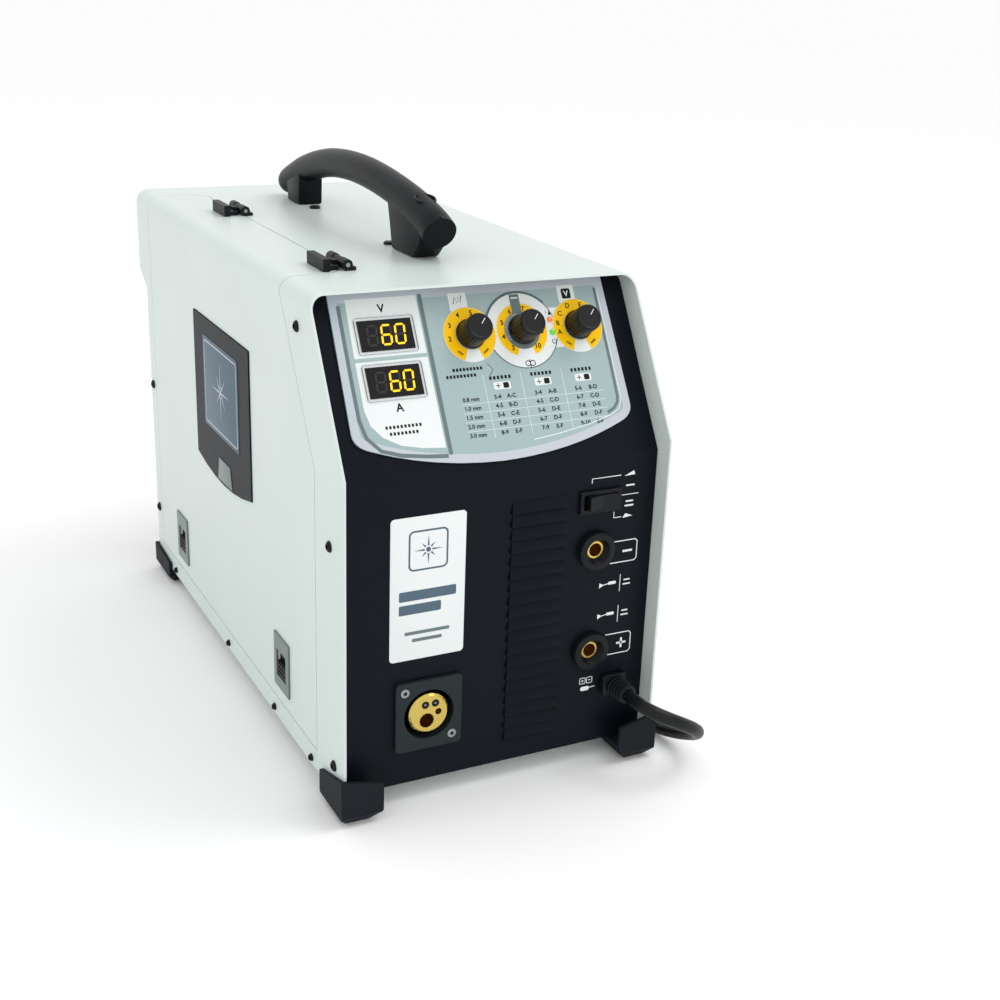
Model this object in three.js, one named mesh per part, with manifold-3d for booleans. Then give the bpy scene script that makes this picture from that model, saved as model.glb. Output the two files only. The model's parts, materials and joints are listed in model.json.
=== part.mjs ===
// A compact MIG welding machine: sheet-metal case with a side door, slanted control panel, wire feeder and
// spool in the left bay, inverter parts in the right bay. Millimetres, +Z up, front towards -Y.
import * as THREE from "three";
import { mergeVertices } from "three/addons/utils/BufferGeometryUtils.js";
import Module from "manifold-3d";

const wasm = await Module();
wasm.setup();

// Case frame: X = 0 in the middle, Y = 0 at the shell's lower front edge, Z = 0 at the case bottom.
const WIDTH = 220;
const HEIGHT = 308;
const DEPTH = 465; // to the rear of the hood
const LOWER_DEPTH = 444; // to the rear edge below the hood
const HOOD_TOP_EDGE = 245;
const HOOD_LOW_EDGE = 232;
const KINK_HEIGHT = 212; // where the front edge starts to lean back
const TOP_SETBACK = 58; // how far the top front edge stands behind the lower one
const SHEET = 1.5;
const BEND = 10; // outer radius of the folded top corners
const CLEAR = 0.4;
const FOOT_HEIGHT = 13;
const FOOT_PROUD = 3;
const LEAD_FRONT = -8; // front face of the lead's grommet, the foremost point

const HALF = WIDTH / 2;
const INSIDE = HALF - SHEET;
const LEAN = Math.atan2(TOP_SETBACK, HEIGHT - KINK_HEIGHT);

const PANEL_Y = 13; // front face of the lower front panel
const PANEL_WALL = 3;
const SLOPE_RECESS = 16; // depth of the slanted panel behind the shell's edge
const SLOPE_Y = SLOPE_RECESS * Math.cos(LEAN);
const SLOPE_Z = KINK_HEIGHT - SLOPE_RECESS * Math.sin(LEAN);
const SLOPE_LENGTH = 119;
const PLATE_WALL = 1.2;

const REAR_PANEL_Y = 438.5;
const DIVIDER_X = -18;
const DOOR = { front: 48, kink: 204, topFront: 108, rear: 428, bottom: 15, flange: -64.5, topRise: 300 };
const HINGE = { x: -64, z: HEIGHT + 3.8, radius: 3.4, bore: 1.65, pin: 1.4, length: 30, front: [112, 320] };
const LATCHES = { front: [113.8, 45.5], rear: [360, 44.5] };

const WIRE = { x: -51.6, z: 44 };
const ROLL = { radius: 15, width: 12, y: 95 };
const SPOOL = { y: 318, z: 150, radius: 100, wound: 85, bore: 26, width: 55, near: -29 };
const FAN = { x: 45, z: 160, size: 119, opening: 57, depth: 25 };

const group = new THREE.Group();
group.position.set(0, -(DEPTH + LEAD_FRONT) / 2, FOOT_HEIGHT);
const slope = new THREE.Group();
slope.position.set(0, SLOPE_Y, SLOPE_Z);
slope.rotation.x = -LEAN;
group.add(slope);

const FINISH = {
  shell: [0xdde3e2, 0.45, 0.1],
  dark: [0x141b22, 0.55, 0],
  plate: [0xa8b7bb, 0.5, 0],
  black: [0x1b1d1f, 0.5, 0],
  slate: [0x2a3036, 0.7, 0],
  display: [0x0b0b0c, 0.15, 0],
  brass: [0xc9b45a, 0.3, 1],
  steel: [0x9aa0a4, 0.35, 1],
  aluminium: [0xb9bdc0, 0.4, 1],
  lampOrange: [0xe08020, 0.2, 0],
  lampGreen: [0x40c020, 0.2, 0],
  board: [0x1f5b34, 0.6, 0],
  copper: [0xb5651d, 0.4, 1],
  rubber: [0x16181a, 0.8, 0],
  wire: [0xb87333, 0.35, 1],
};

function solid(geometry) {
  const bare = geometry.clone();
  for (const name of Object.keys(bare.attributes)) {
    if (name !== "position") bare.deleteAttribute(name);
  }
  const merged = mergeVertices(bare, 1e-4);
  const mesh = new wasm.Mesh({
    numProp: 3,
    vertProperties: merged.attributes.position.array,
    triVerts: new Uint32Array(merged.index.array),
  });
  return new wasm.Manifold(mesh);
}

function geometryOf(shape) {
  const mesh = shape.getMesh();
  const geometry = new THREE.BufferGeometry();
  geometry.setAttribute("position", new THREE.BufferAttribute(new Float32Array(mesh.vertProperties), 3));
  geometry.setIndex(new THREE.BufferAttribute(new Uint32Array(mesh.triVerts), 1));
  geometry.computeVertexNormals();
  return geometry;
}

function join(first, ...others) {
  return others.reduce((sum, other) => sum.add(other), first);
}

function cut(first, ...others) {
  return others.reduce((rest, other) => rest.subtract(other), first);
}

function moved(shape, matrix) {
  return solid(geometryOf(shape).applyMatrix4(matrix));
}

function add(name, shape, finish, parent = group) {
  const [color, roughness, metalness] = FINISH[finish];
  const material = new THREE.MeshStandardMaterial({ color, roughness, metalness });
  const mesh = new THREE.Mesh(geometryOf(shape), material);
  mesh.name = name;
  parent.add(mesh);
}

function box([x0, x1], [y0, y1], [z0, z1]) {
  const geometry = new THREE.BoxGeometry(x1 - x0, y1 - y0, z1 - z0);
  geometry.translate((x0 + x1) / 2, (y0 + y1) / 2, (z0 + z1) / 2);
  return solid(geometry);
}

function outlineOf(outline) {
  return Array.isArray(outline) ? new THREE.Shape(outline.map(([a, b]) => new THREE.Vector2(a, b))) : outline;
}

function extruded(outline, depth, axisA, axisB, axisDepth, origin) {
  const options = { depth, bevelEnabled: false, curveSegments: 6 };
  const geometry = new THREE.ExtrudeGeometry(outlineOf(outline), options);
  geometry.applyMatrix4(new THREE.Matrix4().makeBasis(axisA, axisB, axisDepth));
  geometry.translate(origin.x, origin.y, origin.z);
  return solid(geometry);
}

const AXIS_X = new THREE.Vector3(1, 0, 0);
const AXIS_Y = new THREE.Vector3(0, 1, 0);
const AXIS_Z = new THREE.Vector3(0, 0, 1);

// Outline in (Y, Z), along X.
function prismX(outline, x0, x1) {
  return extruded(outline, x1 - x0, AXIS_Y, AXIS_Z, AXIS_X, new THREE.Vector3(x0, 0, 0));
}

// Outline in (X, Z), along Y.
function prismY(outline, y0, y1) {
  const back = AXIS_Y.clone().negate();
  return extruded(outline, y1 - y0, AXIS_X, AXIS_Z, back, new THREE.Vector3(0, y1, 0));
}

// Outline in (X, Y), along Z.
function prismZ(outline, z0, z1) {
  return extruded(outline, z1 - z0, AXIS_X, AXIS_Y, AXIS_Z, new THREE.Vector3(0, 0, z0));
}

function roundedRect(cx, cy, width, height, radius) {
  const shape = new THREE.Shape();
  const [x, y, w, h] = [cx - width / 2, cy - height / 2, width, height];
  shape.moveTo(x + radius, y);
  shape.lineTo(x + w - radius, y);
  shape.absarc(x + w - radius, y + radius, radius, -Math.PI / 2, 0, false);
  shape.lineTo(x + w, y + h - radius);
  shape.absarc(x + w - radius, y + h - radius, radius, 0, Math.PI / 2, false);
  shape.lineTo(x + radius, y + h);
  shape.absarc(x + radius, y + h - radius, radius, Math.PI / 2, Math.PI, false);
  shape.lineTo(x, y + radius);
  shape.absarc(x + radius, y + radius, radius, Math.PI, 1.5 * Math.PI, false);
  return shape;
}

// A turned piece: profile of [radius, height] points, closed or ending on the axis, about the given axis.
function turned(profile, axis, [x, y, z], sides = 20) {
  const points = profile.map(([r, h]) => new THREE.Vector2(r, h));
  const geometry = new THREE.LatheGeometry(points, sides);
  const turn = new THREE.Quaternion().setFromUnitVectors(AXIS_Y, axis);
  geometry.applyQuaternion(turn);
  geometry.translate(x, y, z);
  const shape = solid(geometry);
  return shape.volume() > 0 ? shape : flipped(geometry);
}

function flipped(geometry) {
  const index = geometry.index.array;
  for (let i = 0; i < index.length; i += 3) [index[i + 1], index[i + 2]] = [index[i + 2], index[i + 1]];
  return solid(geometry);
}

function rod(radius, from, to, axis, centre, sides = 16) {
  return turned([[0, from], [radius, from], [radius, to], [0, to]], axis, centre, sides);
}

function ring(inner, outer, from, to, axis, centre, sides = 16) {
  const profile = [[inner, from], [outer, from], [outer, to], [inner, to], [inner, from]];
  return turned(profile, axis, centre, sides);
}

function tube(points, radius, sides, steps) {
  const section = new THREE.Shape();
  for (let i = 0; i < sides; i += 1) {
    const angle = (2 * Math.PI * i) / sides;
    const [a, b] = [radius * Math.cos(angle), radius * Math.sin(angle)];
    if (i) section.lineTo(a, b);
    else section.moveTo(a, b);
  }
  const path = new THREE.CatmullRomCurve3(points.map((p) => new THREE.Vector3(...p)), false, "centripetal");
  return solid(new THREE.ExtrudeGeometry(section, { steps, extrudePath: path, bevelEnabled: false }));
}

// ---------------------------------------------------------------- case

// Cross-section of the wrap-round sheet, with folded top corners.
function archOutline(inset, bottom) {
  const [half, top, radius] = [HALF - inset, HEIGHT - inset, BEND - inset];
  const shape = new THREE.Shape();
  shape.moveTo(-half, bottom);
  shape.lineTo(half, bottom);
  shape.lineTo(half, top - radius);
  shape.absarc(half - radius, top - radius, radius, 0, Math.PI / 2, false);
  shape.lineTo(-half + radius, top);
  shape.absarc(-half + radius, top - radius, radius, Math.PI / 2, Math.PI, false);
  return shape;
}

function wrapSheet() {
  const sheet = cut(prismY(archOutline(0, 0), 0, DEPTH), prismY(archOutline(SHEET, -10), -10, DEPTH + 10));
  const side = [
    [0, -1], [0, KINK_HEIGHT], [TOP_SETBACK, HEIGHT], [TOP_SETBACK, HEIGHT + 1], [DEPTH, HEIGHT + 1],
    [DEPTH, HOOD_TOP_EDGE], [LOWER_DEPTH, HOOD_LOW_EDGE], [LOWER_DEPTH, -1],
  ];
  return sheet.intersect(prismX(side, -HALF - 1, HALF + 1));
}

// The region of the left side and top that the door takes, grown or shrunk by an allowance.
function doorRegion(grow) {
  const side = [
    [DOOR.front - grow, DOOR.bottom - grow], [DOOR.front - grow, DOOR.kink],
    [DOOR.topFront - grow, DOOR.topRise], [DOOR.topFront - grow, HEIGHT + 5],
    [DOOR.rear + grow, HEIGHT + 5], [DOOR.rear + grow, DOOR.bottom - grow],
  ];
  const region = prismX(side, -HALF - 5, DOOR.flange + grow);
  const corner = 12;
  const [edge, rear, front] = [DOOR.flange + grow, DOOR.rear + grow, DOOR.topFront - grow];
  const rearCorner = [
    [edge + 1, rear + 1], [edge - corner, rear + 1], [edge - corner, rear], [edge, rear - corner],
    [edge + 1, rear - corner],
  ];
  const frontCorner = [
    [edge + 1, front - 1], [edge + 1, front + corner], [edge, front + corner], [edge - corner, front],
    [edge - corner, front - 1],
  ];
  const top = [HEIGHT - BEND, HEIGHT + 6];
  return cut(region, prismZ(rearCorner, ...top), prismZ(frontCorner, ...top));
}

function outerShell() {
  return cut(wrapSheet(), doorRegion(0.35));
}

function badgeOutline(grow) {
  const [front, rear, top, low, sag] = [171.5 - grow, 302 + grow, 246 + grow, 141 - grow, 9];
  const shape = new THREE.Shape();
  shape.moveTo(front, low);
  shape.quadraticCurveTo((front + rear) / 2, low - 2 * sag, rear, low - 3);
  shape.lineTo(rear, top);
  shape.lineTo(front, top);
  return shape;
}

function latchCut([y, z]) {
  return box([-HALF - 5, -INSIDE + 5], [y - 9.2, y + 9.2], [z - 11, z + 8.4]);
}

function sideDoor() {
  const skin = wrapSheet().intersect(doorRegion(-0.35));
  const inner = [-INSIDE - 0.2, -INSIDE + 8];
  const lowLip = box(inner, [DOOR.front + 2, DOOR.rear - 2], [DOOR.bottom + 1, DOOR.bottom + 2.5]);
  const frontLip = box(inner, [DOOR.front + 0.8, DOOR.front + 2.3], [DOOR.bottom + 1, DOOR.kink - 2]);
  const rearLip = box(inner, [DOOR.rear - 2.3, DOOR.rear - 0.8], [DOOR.bottom + 1, HEIGHT - BEND - 4]);
  const holes = Object.values(LATCHES).map(latchCut);
  const window = prismX(badgeOutline(CLEAR), -HALF - 5, -INSIDE + 3);
  return cut(join(skin, lowLip, frontLip, rearLip), window, ...holes);
}

function baseTray() {
  const [side, front, rear] = [INSIDE - CLEAR, PANEL_Y + PANEL_WALL + CLEAR, REAR_PANEL_Y - CLEAR];
  const whole = box([-side, side], [front, rear], [0, 14]);
  const inside = box([-side + SHEET, side - SHEET], [front + SHEET, rear - SHEET], [SHEET, 20]);
  return cut(whole, inside);
}

function fanHole(radius, centre, y) {
  const slots = [];
  const pitch = 9;
  for (let k = -5; k <= 5; k += 1) {
    const chord = Math.sqrt(radius * radius - (Math.abs(k) * pitch) ** 2) - 2;
    if (chord < 8) continue;
    const z = centre.z + k * pitch;
    slots.push(box([centre.x - chord, centre.x + chord], y, [z - 2.7, z + 2.7]));
  }
  return slots;
}

function rearPanel() {
  const y = [REAR_PANEL_Y, REAR_PANEL_Y + SHEET];
  const through = [REAR_PANEL_Y - 2, REAR_PANEL_Y + 4];
  const plate = prismY(archOutline(SHEET + CLEAR, 0.5), ...y);
  const round = (radius, x, z) => rod(radius, ...through, AXIS_Y, [x, 0, z]);
  const mains = box([61.6, 88.4], through, [251.6, 274.4]);
  return cut(plate, ...fanHole(56, FAN, through), round(10.4, 60, 40), round(6.4, -40, 60), mains);
}

function dividerPlate() {
  const rear = REAR_PANEL_Y - 3;
  const outline = [[18, 2.2], [18, 197], [80, 299], [84, 305.6], [rear, 305.6], [rear, 2.2]];
  const plate = prismX(outline, DIVIDER_X, DIVIDER_X + SHEET);
  const flange = box([DIVIDER_X, DIVIDER_X + 14], [120, REAR_PANEL_Y - 4], [2.2, 3.7]);
  const shaftHole = rod(5, -30, 0, AXIS_X, [0, ROLL.y, WIRE.z - ROLL.radius - 0.5]);
  return cut(join(plate, flange), shaftHole);
}

// Corner foot: pad, side wall and end wall; side is -1 left or 1 right, end is -1 front or 1 rear.
function foot(side, end) {
  const proud = FOOT_PROUD;
  const [outer, inner] = [HALF + proud, HALF - 25];
  const [face, length] = end < 0 ? [-proud, 39] : [LOWER_DEPTH + proud, 45];
  const far = face - end * length;
  const ends = (a, b) => [Math.min(a, b), Math.max(a, b)];
  const across = (a, b) => ends(side * a, side * b);
  const [sideTop, lowTop, innerTop] = end < 0 ? [20, 9, 14] : [9, 6, 7];
  const pad = box(across(inner, outer), ends(face, far), [-FOOT_HEIGHT, -CLEAR]);
  const sideWall = prismX(
    [[face, -2], [face, sideTop], [far, lowTop], [far, -2]], ...across(HALF + 0.3, outer),
  );
  const endWall = prismY(
    [[side * inner, -2], [side * inner, innerTop], [side * outer, sideTop], [side * outer, -2]],
    ...ends(face, face - end * (proud - 0.3)),
  );
  const chamfer = 8;
  const bottom = -FOOT_HEIGHT;
  // Triangle that takes a lower edge off: out from the edge, up it and along the bottom.
  const wedge = (edge, inward, up, along) => [
    [edge - inward, bottom - 1], [edge - inward, bottom + up], [edge + inward * along, bottom - 1],
  ];
  const under = wedge(face, -end, chamfer, chamfer - 1);
  const behind = wedge(far, end, chamfer, chamfer - 1);
  const innerWedge = wedge(side * inner, side, 9, 9);
  const outerWedge = wedge(side * outer, -side, 7, 6);
  return cut(
    join(pad, sideWall, endWall), prismX(under, -HALF - 10, HALF + 10), prismX(behind, -HALF - 10, HALF + 10),
    prismY(innerWedge, face - 60, face + 60), prismY(outerWedge, face - 60, face + 60),
  );
}

// ---------------------------------------------------------------- carrying handle, hinges, latches

const HANDLE_PATH = [
  [0, 117, 327], [0, 130, 332.5], [0, 165, 341], [0, 210, 347], [0, 255, 349.5], [0, 300, 347.5],
  [0, 335, 342], [0, 365, 334.5], [0, 388, 326.5], [0, 402, 321],
];
const GRIP_RADIUS = 10.5;
const HANDLE_FOOT = 9.5; // half width of each foot

function carryHandle() {
  const grip = tube(HANDLE_PATH, GRIP_RADIUS, 14, 20);
  const rearCap = solid(new THREE.SphereGeometry(GRIP_RADIUS - 0.3, 14, 8).translate(...HANDLE_PATH.at(-1)));
  const base = HEIGHT + 0.3;
  const frontOutline = [[138, base], [128, 319], [127, 330], [150, 337], [180, 337], [176, 322], [173, base]];
  const rearOutline = [[358, base], [357, 336], [384, 328], [384, base]];
  return join(grip, rearCap, ...[frontOutline, rearOutline].map((o) => prismX(o, -HANDLE_FOOT, HANDLE_FOOT)));
}

// The shell's half of a hinge: two knuckles on a foot, each cleared for the door's middle knuckle.
function hingeBase(front) {
  const { x, z, radius, bore } = HINGE;
  const rear = front + HINGE.length;
  const knuckle = (a, b) => ring(bore, radius, a, b, AXIS_Y, [x, 0, z]);
  const footing = (a, b) => box([x + 0.4, x + 5.6], [a, b], [HEIGHT + 0.3, z - 1.5]);
  const strip = box([x + 3.8, x + 5.6], [front, rear], [HEIGHT + 0.3, z - 1.5]);
  const pairs = [[front, front + 9], [rear - 9, rear]];
  const pinHole = rod(bore, front - 1, rear + 1, AXIS_Y, [x, 0, z]);
  const knuckles = pairs.map(([a, b]) => cut(join(knuckle(a, b), footing(a, b)), pinHole));
  return join(strip, ...knuckles);
}

// The door's half: a rib beside the pin, a low web and one middle knuckle reaching round the pin.
function hingeLeaf(front) {
  const { x, z, radius, bore } = HINGE;
  const rear = front + HINGE.length;
  const rib = box([x - 16, x - 11.3], [front, rear], [HEIGHT + 0.3, HEIGHT + 8]);
  const web = box([x - 12, x - 4.6], [front + 4, rear - 4], [HEIGHT + 0.3, z - 0.8]);
  const [a, b] = [front + 10, rear - 10];
  const tongue = box([x - 6, x], [a, b], [HEIGHT + 0.6, z + 1.4]);
  const knuckle = rod(radius - 0.4, a, b, AXIS_Y, [x, 0, z]);
  return cut(join(rib, web, tongue, knuckle), rod(bore, front, rear, AXIS_Y, [x, 0, z]));
}

function hingePin(front) {
  return rod(HINGE.pin, front - 0.6, front + HINGE.length + 0.6, AXIS_Y, [HINGE.x, 0, HINGE.z], 16);
}

function latchPlate([y, z]) {
  const [width, height] = [29, 38.6];
  const sheet = [-HALF - 1.3, -HALF - 0.3];
  const body = box(sheet, [y - width / 2, y + width / 2], [z - height / 2, z + height / 2]);
  return cut(body, latchCut([y, z]));
}

// The sliding catch: a grooved thumb button in the plate's window, with a tongue behind the door.
function latchSlider([y, z]) {
  const button = box([-HALF - 0.8, -INSIDE + 0.5], [y - 8.6, y + 8.6], [z - 10.6, z - 0.2]);
  const groove = (low) => box([-HALF - 2, -HALF], [y - 6.5, y + 6.5], [low, low + 1.6]);
  const grooves = [z - 8.2, z - 5, z - 1.8].map(groove);
  const back = box([-INSIDE + 0.4, -INSIDE + 3], [y - 11, y + 11], [z - 17, z + 11]);
  const tongue = box([-INSIDE + 0.4, -INSIDE + 3], [y - 6, y + 6], [z - 23, z - 16]);
  return cut(join(button, back, tongue), ...grooves);
}

// ---------------------------------------------------------------- front panel and what it carries

const MODE = { x: 67.25, z: 173.5, width: 29.5, height: 15, tilt: THREE.MathUtils.degToRad(7), pivot: 17 };
const SOCKETS = { minus: [66, 140], plus: [66, 69] };
const SOCKET_BORE = 6.1;
const TORCH = { x: -49.5, z: 47.5, width: 45, height: 48, recess: 17 };
const TORCH_BODY = { x: -50, z: 48.5, radius: 13.5, tail: 9 };
const LEAD = { x: 85, z: 42, width: 18, height: 15, boss: [86, 41] };
const LOUVRES = { x: [5.5, 43], bottom: 14, top: 180, count: 19, gap: 2.6, low: 0.15 };
const DISPLAYS = { volts: [-60.8, 88.2], amps: [-61.2, 59.5] };
const DISPLAY_SIZE = [34.5, 19];
const KNOBS = { left: -6.5, centre: 29.5, right: 69 };
const KNOB_HEIGHT = 84;
const LAMPS = { orange: [50.2, 89.4], green: [50.3, 81] };

function slopeMatrix() {
  const turn = new THREE.Matrix4().makeRotationX(-LEAN);
  return new THREE.Matrix4().makeTranslation(0, SLOPE_Y, SLOPE_Z).multiply(turn);
}

function alongSlope(s, inward) {
  const [sin, cos] = [Math.sin(LEAN), Math.cos(LEAN)];
  return [SLOPE_Y + s * sin + inward * cos, SLOPE_Z + s * cos - inward * sin];
}

function slopeHoles(clearance) {
  const depth = [-6, PANEL_WALL + 3];
  const [w, h] = DISPLAY_SIZE.map((size) => size / 2 + clearance);
  const windows = Object.values(DISPLAYS).map(([x, s]) => box([x - w, x + w], depth, [s - h, s + h]));
  const shafts = Object.values(KNOBS).map((x) => rod(3 + clearance, ...depth, AXIS_Y, [x, 0, KNOB_HEIGHT]));
  const lamps = Object.values(LAMPS).map(([x, s]) => rod(1.5 + clearance, ...depth, AXIS_Y, [x, 0, s], 16));
  return [...windows, ...shafts, ...lamps];
}

function louvreSlots() {
  const pitch = (LOUVRES.top - LOUVRES.bottom) / LOUVRES.count;
  const slots = [];
  for (let k = 0; k < LOUVRES.count; k += 1) {
    const z = LOUVRES.bottom + (k + LOUVRES.low) * pitch;
    const height = [z - LOUVRES.gap / 2, z + LOUVRES.gap / 2];
    slots.push(box(LOUVRES.x, [PANEL_Y - 3, PANEL_Y + PANEL_WALL + 3], height));
  }
  return slots;
}

function frontPanel() {
  const crease = SLOPE_Z - (SLOPE_Y - PANEL_Y) / Math.tan(LEAN);
  const profile = [
    [PANEL_Y, 0], [PANEL_Y, crease], alongSlope(SLOPE_LENGTH, 0), alongSlope(SLOPE_LENGTH, PANEL_WALL),
    [PANEL_Y + PANEL_WALL, crease - 1], [PANEL_Y + PANEL_WALL, 0],
  ];
  const blank = prismX(profile, -HALF, HALF).intersect(prismY(archOutline(SHEET + CLEAR, -5), -5, 120));
  const through = [PANEL_Y - 3, PANEL_Y + PANEL_WALL + 3];
  const lowHoles = [
    box([MODE.x - 13.7, MODE.x + 13.7], through, [MODE.z - 6.4, MODE.z + 6.4]),
    rod(20, ...through, AXIS_Y, [TORCH.x, 0, TORCH.z], 24),
    ...Object.values(SOCKETS).map(([x, z]) => rod(11, ...through, AXIS_Y, [x, 0, z])),
    box([LEAD.x - 6.4, LEAD.x + 6.4], through, [LEAD.z - 5.4, LEAD.z + 5.4]),
  ];
  const slopeCuts = slopeHoles(CLEAR).map((hole) => moved(hole, slopeMatrix()));
  return cut(blank, ...lowHoles, ...louvreSlots(), ...slopeCuts);
}

function controlPlate() {
  const [top, half, low, sag, radius] = [115, 93, 21.5, 4, 9];
  const shape = new THREE.Shape();
  shape.moveTo(-half, top);
  shape.lineTo(-half - 1.5, low + radius);
  shape.quadraticCurveTo(-half - 1.5, low + 1, -half + radius, low - 2.5);
  shape.quadraticCurveTo(-46, sag + 0.5, 0, sag);
  shape.quadraticCurveTo(46, sag + 0.5, half - radius, low - 2.5);
  shape.quadraticCurveTo(half + 1.5, low + 1, half + 1.5, low + radius);
  shape.lineTo(half, top);
  return cut(prismY(shape, -PLATE_WALL - 0.3, -0.3), ...slopeHoles(CLEAR));
}

function display([x, s]) {
  const [w, h] = DISPLAY_SIZE;
  return box([x - w / 2, x + w / 2], [-2.2, 9], [s - h / 2, s + h / 2]);
}

function knob(x) {
  const length = 17;
  const start = PLATE_WALL + 0.9;
  const profile = [
    [0, -10], [3, -10], [3, start], [9.6, start], [9.6, start + 1.6], [8.9, start + 2.4],
    [8.5, start + length - 1.2], [7.3, start + length], [0, start + length],
  ];
  return turned(profile, AXIS_Y.clone().negate(), [x, 0, KNOB_HEIGHT], 20);
}

function lamp([x, s]) {
  const profile = [[0, -7], [1.5, -7], [1.5, 2], [1.1, 2.8], [0, 3.1]];
  return turned(profile, AXIS_Y.clone().negate(), [x, 0, s], 16);
}

function modeSwitchFrame() {
  const [w, h] = [MODE.width / 2, MODE.height / 2];
  const bezel = box([MODE.x - w, MODE.x + w], [PANEL_Y - 2.3, PANEL_Y - 0.3], [MODE.z - h, MODE.z + h]);
  const body = box([MODE.x - 13.3, MODE.x + 13.3], [PANEL_Y - 1, 30], [MODE.z - 6, MODE.z + 6]);
  const mouth = box([MODE.x - 12.4, MODE.x + 12.4], [PANEL_Y - 5, 27], [MODE.z - 4.9, MODE.z + 4.9]);
  return cut(join(bezel, body), mouth);
}

function rockerOutline() {
  return [[-11, -9], [0, -7.4], [11, -9], [9, 4], [-9, 4]];
}

function modeRocker() {
  const shape = prismZ(rockerOutline(), -4.5, 4.5);
  const turn = new THREE.Matrix4().makeRotationZ(MODE.tilt);
  return moved(shape, new THREE.Matrix4().makeTranslation(MODE.x, MODE.pivot, MODE.z).multiply(turn));
}

function socketBody([x, z]) {
  const profile = [
    [SOCKET_BORE + 2.5, PANEL_Y - 5], [12, PANEL_Y - 5], [13, PANEL_Y - 4], [13, PANEL_Y - 0.3],
    [10.6, PANEL_Y - 0.3], [10.6, 36], [SOCKET_BORE, 36], [SOCKET_BORE, PANEL_Y - 1],
    [SOCKET_BORE + 2.5, PANEL_Y - 5],
  ];
  return turned(profile, AXIS_Y, [x, 0, z], 20);
}

function socketInsert([x, z]) {
  const [outer, bore] = [5.8, 4.5];
  const profile = [
    [bore, PANEL_Y - 0.5], [outer, PANEL_Y - 0.5], [outer, 44], [0, 44], [0, 34], [bore, 34],
    [bore, PANEL_Y - 0.5],
  ];
  return turned(profile, AXIS_Y, [x, 0, z], 24);
}

function torchFlange() {
  const outline = roundedRect(TORCH.x, TORCH.z, TORCH.width, TORCH.height, 3);
  const square = prismY(outline, PANEL_Y - 2.8, PANEL_Y - 0.3);
  const cup = rod(19.4, PANEL_Y - 1, 42, AXIS_Y, [TORCH.x, 0, TORCH.z], 24);
  const well = rod(TORCH.recess, PANEL_Y - 5, 39, AXIS_Y, [TORCH.x, 0, TORCH.z], 24);
  const pass = rod(TORCH_BODY.tail + CLEAR, 30, 50, AXIS_Y, [TORCH_BODY.x, 0, TORCH_BODY.z], 24);
  return cut(join(square, cup), well, pass);
}

function torchConnector() {
  const { x, z, radius, tail } = TORCH_BODY;
  const profile = [
    [0, PANEL_Y - 4], [radius - 1.2, PANEL_Y - 4], [radius, PANEL_Y - 2.8], [radius, 37], [tail, 37],
    [tail, 58], [0, 58],
  ];
  const body = turned(profile, AXIS_Y, [x, 0, z], 24);
  const bore = (r, dx, dz, depth) => rod(r, 0, depth, AXIS_Y, [x + dx, 0, z + dz], 12);
  const liner = rod(1.6, 0, 70, AXIS_Y, [WIRE.x, 0, WIRE.z], 12);
  const holes = [
    bore(5, WIRE.x - x, WIRE.z - z, 34), bore(2.2, 6.3, 0.4, 24), bore(2.6, -2.6, 6.4, 12),
    bore(2.6, 4.2, 6.6, 12),
  ];
  return cut(body, ...holes, liner);
}

// ---------------------------------------------------------------- polarity lead

const LEAD_RADIUS = 4.5;
const FLOOR = -FOOT_HEIGHT;
const PLUG_RADIUS = 10.5;
const LEAD_PATH = [
  [86, LEAD_FRONT - 0.3, 41], [86, -16, 41], [87.7, -24.4, 40.3], [92.4, -31.6, 38.4], [99.6, -36.3, 35.2],
  [109, -38, 30.4], [119.3, -36, 23.9], [127.8, -30, 16.4], [133, -20.5, 9], [134.8, -8.5, 2.3],
  [133.6, 5, FLOOR + 9.9], [131, 20, FLOOR + 6.3], [128.8, 37, FLOOR + 4.7], [127.4, 60, FLOOR + 4.7],
  [127, 90, FLOOR + 4.7], [128, 125, FLOOR + 4.7], [129.4, 160, FLOOR + 4.7], [130, 195, FLOOR + 4.7],
  [129.6, 225, FLOOR + 5], [129, 250, FLOOR + 6.5], [129, 272, FLOOR + 8.8], [129, 288, FLOOR + 10.3],
  [129, 300, FLOOR + PLUG_RADIUS + 0.2],
];

function leadGrommet() {
  const [w, h] = [LEAD.width / 2, LEAD.height / 2];
  const inner = box([LEAD.x - 6, LEAD.x + 6], [PANEL_Y - 1, 26], [LEAD.z - 5, LEAD.z + 5]);
  const flange = box([LEAD.x - w, LEAD.x + w], [PANEL_Y - 5, PANEL_Y - 0.3], [LEAD.z - h, LEAD.z + h]);
  const profile = [[0, LEAD_FRONT], [6, LEAD_FRONT], [7.2, PANEL_Y - 4], [0, PANEL_Y - 4]];
  return join(inner, flange, turned(profile, AXIS_Y, [LEAD.boss[0], 0, LEAD.boss[1]], 20));
}

function polarityPlug() {
  const [x, y, z] = LEAD_PATH[LEAD_PATH.length - 1];
  const profile = [
    [0, 0.3], [6, 0.3], [7.5, 14], [PLUG_RADIUS, 16], [PLUG_RADIUS, 46], [9.4, 48], [4.3, 48], [4.3, 64],
    [3.4, 66], [0, 66],
  ];
  return turned(profile, AXIS_Y, [x, y, z], 24);
}

// ---------------------------------------------------------------- wire feeder and spool

const FEEDER = { plate: [-24, -19], pivotY: 126, pivotZ: 66, screwX: -62, screwY: 70 };
const ROLL_X = [WIRE.x - ROLL.width / 2, WIRE.x + ROLL.width / 2];
const DRIVE_Z = WIRE.z - ROLL.radius - 0.5;
const IDLER_Z = WIRE.z + ROLL.radius + 0.5;

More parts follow.
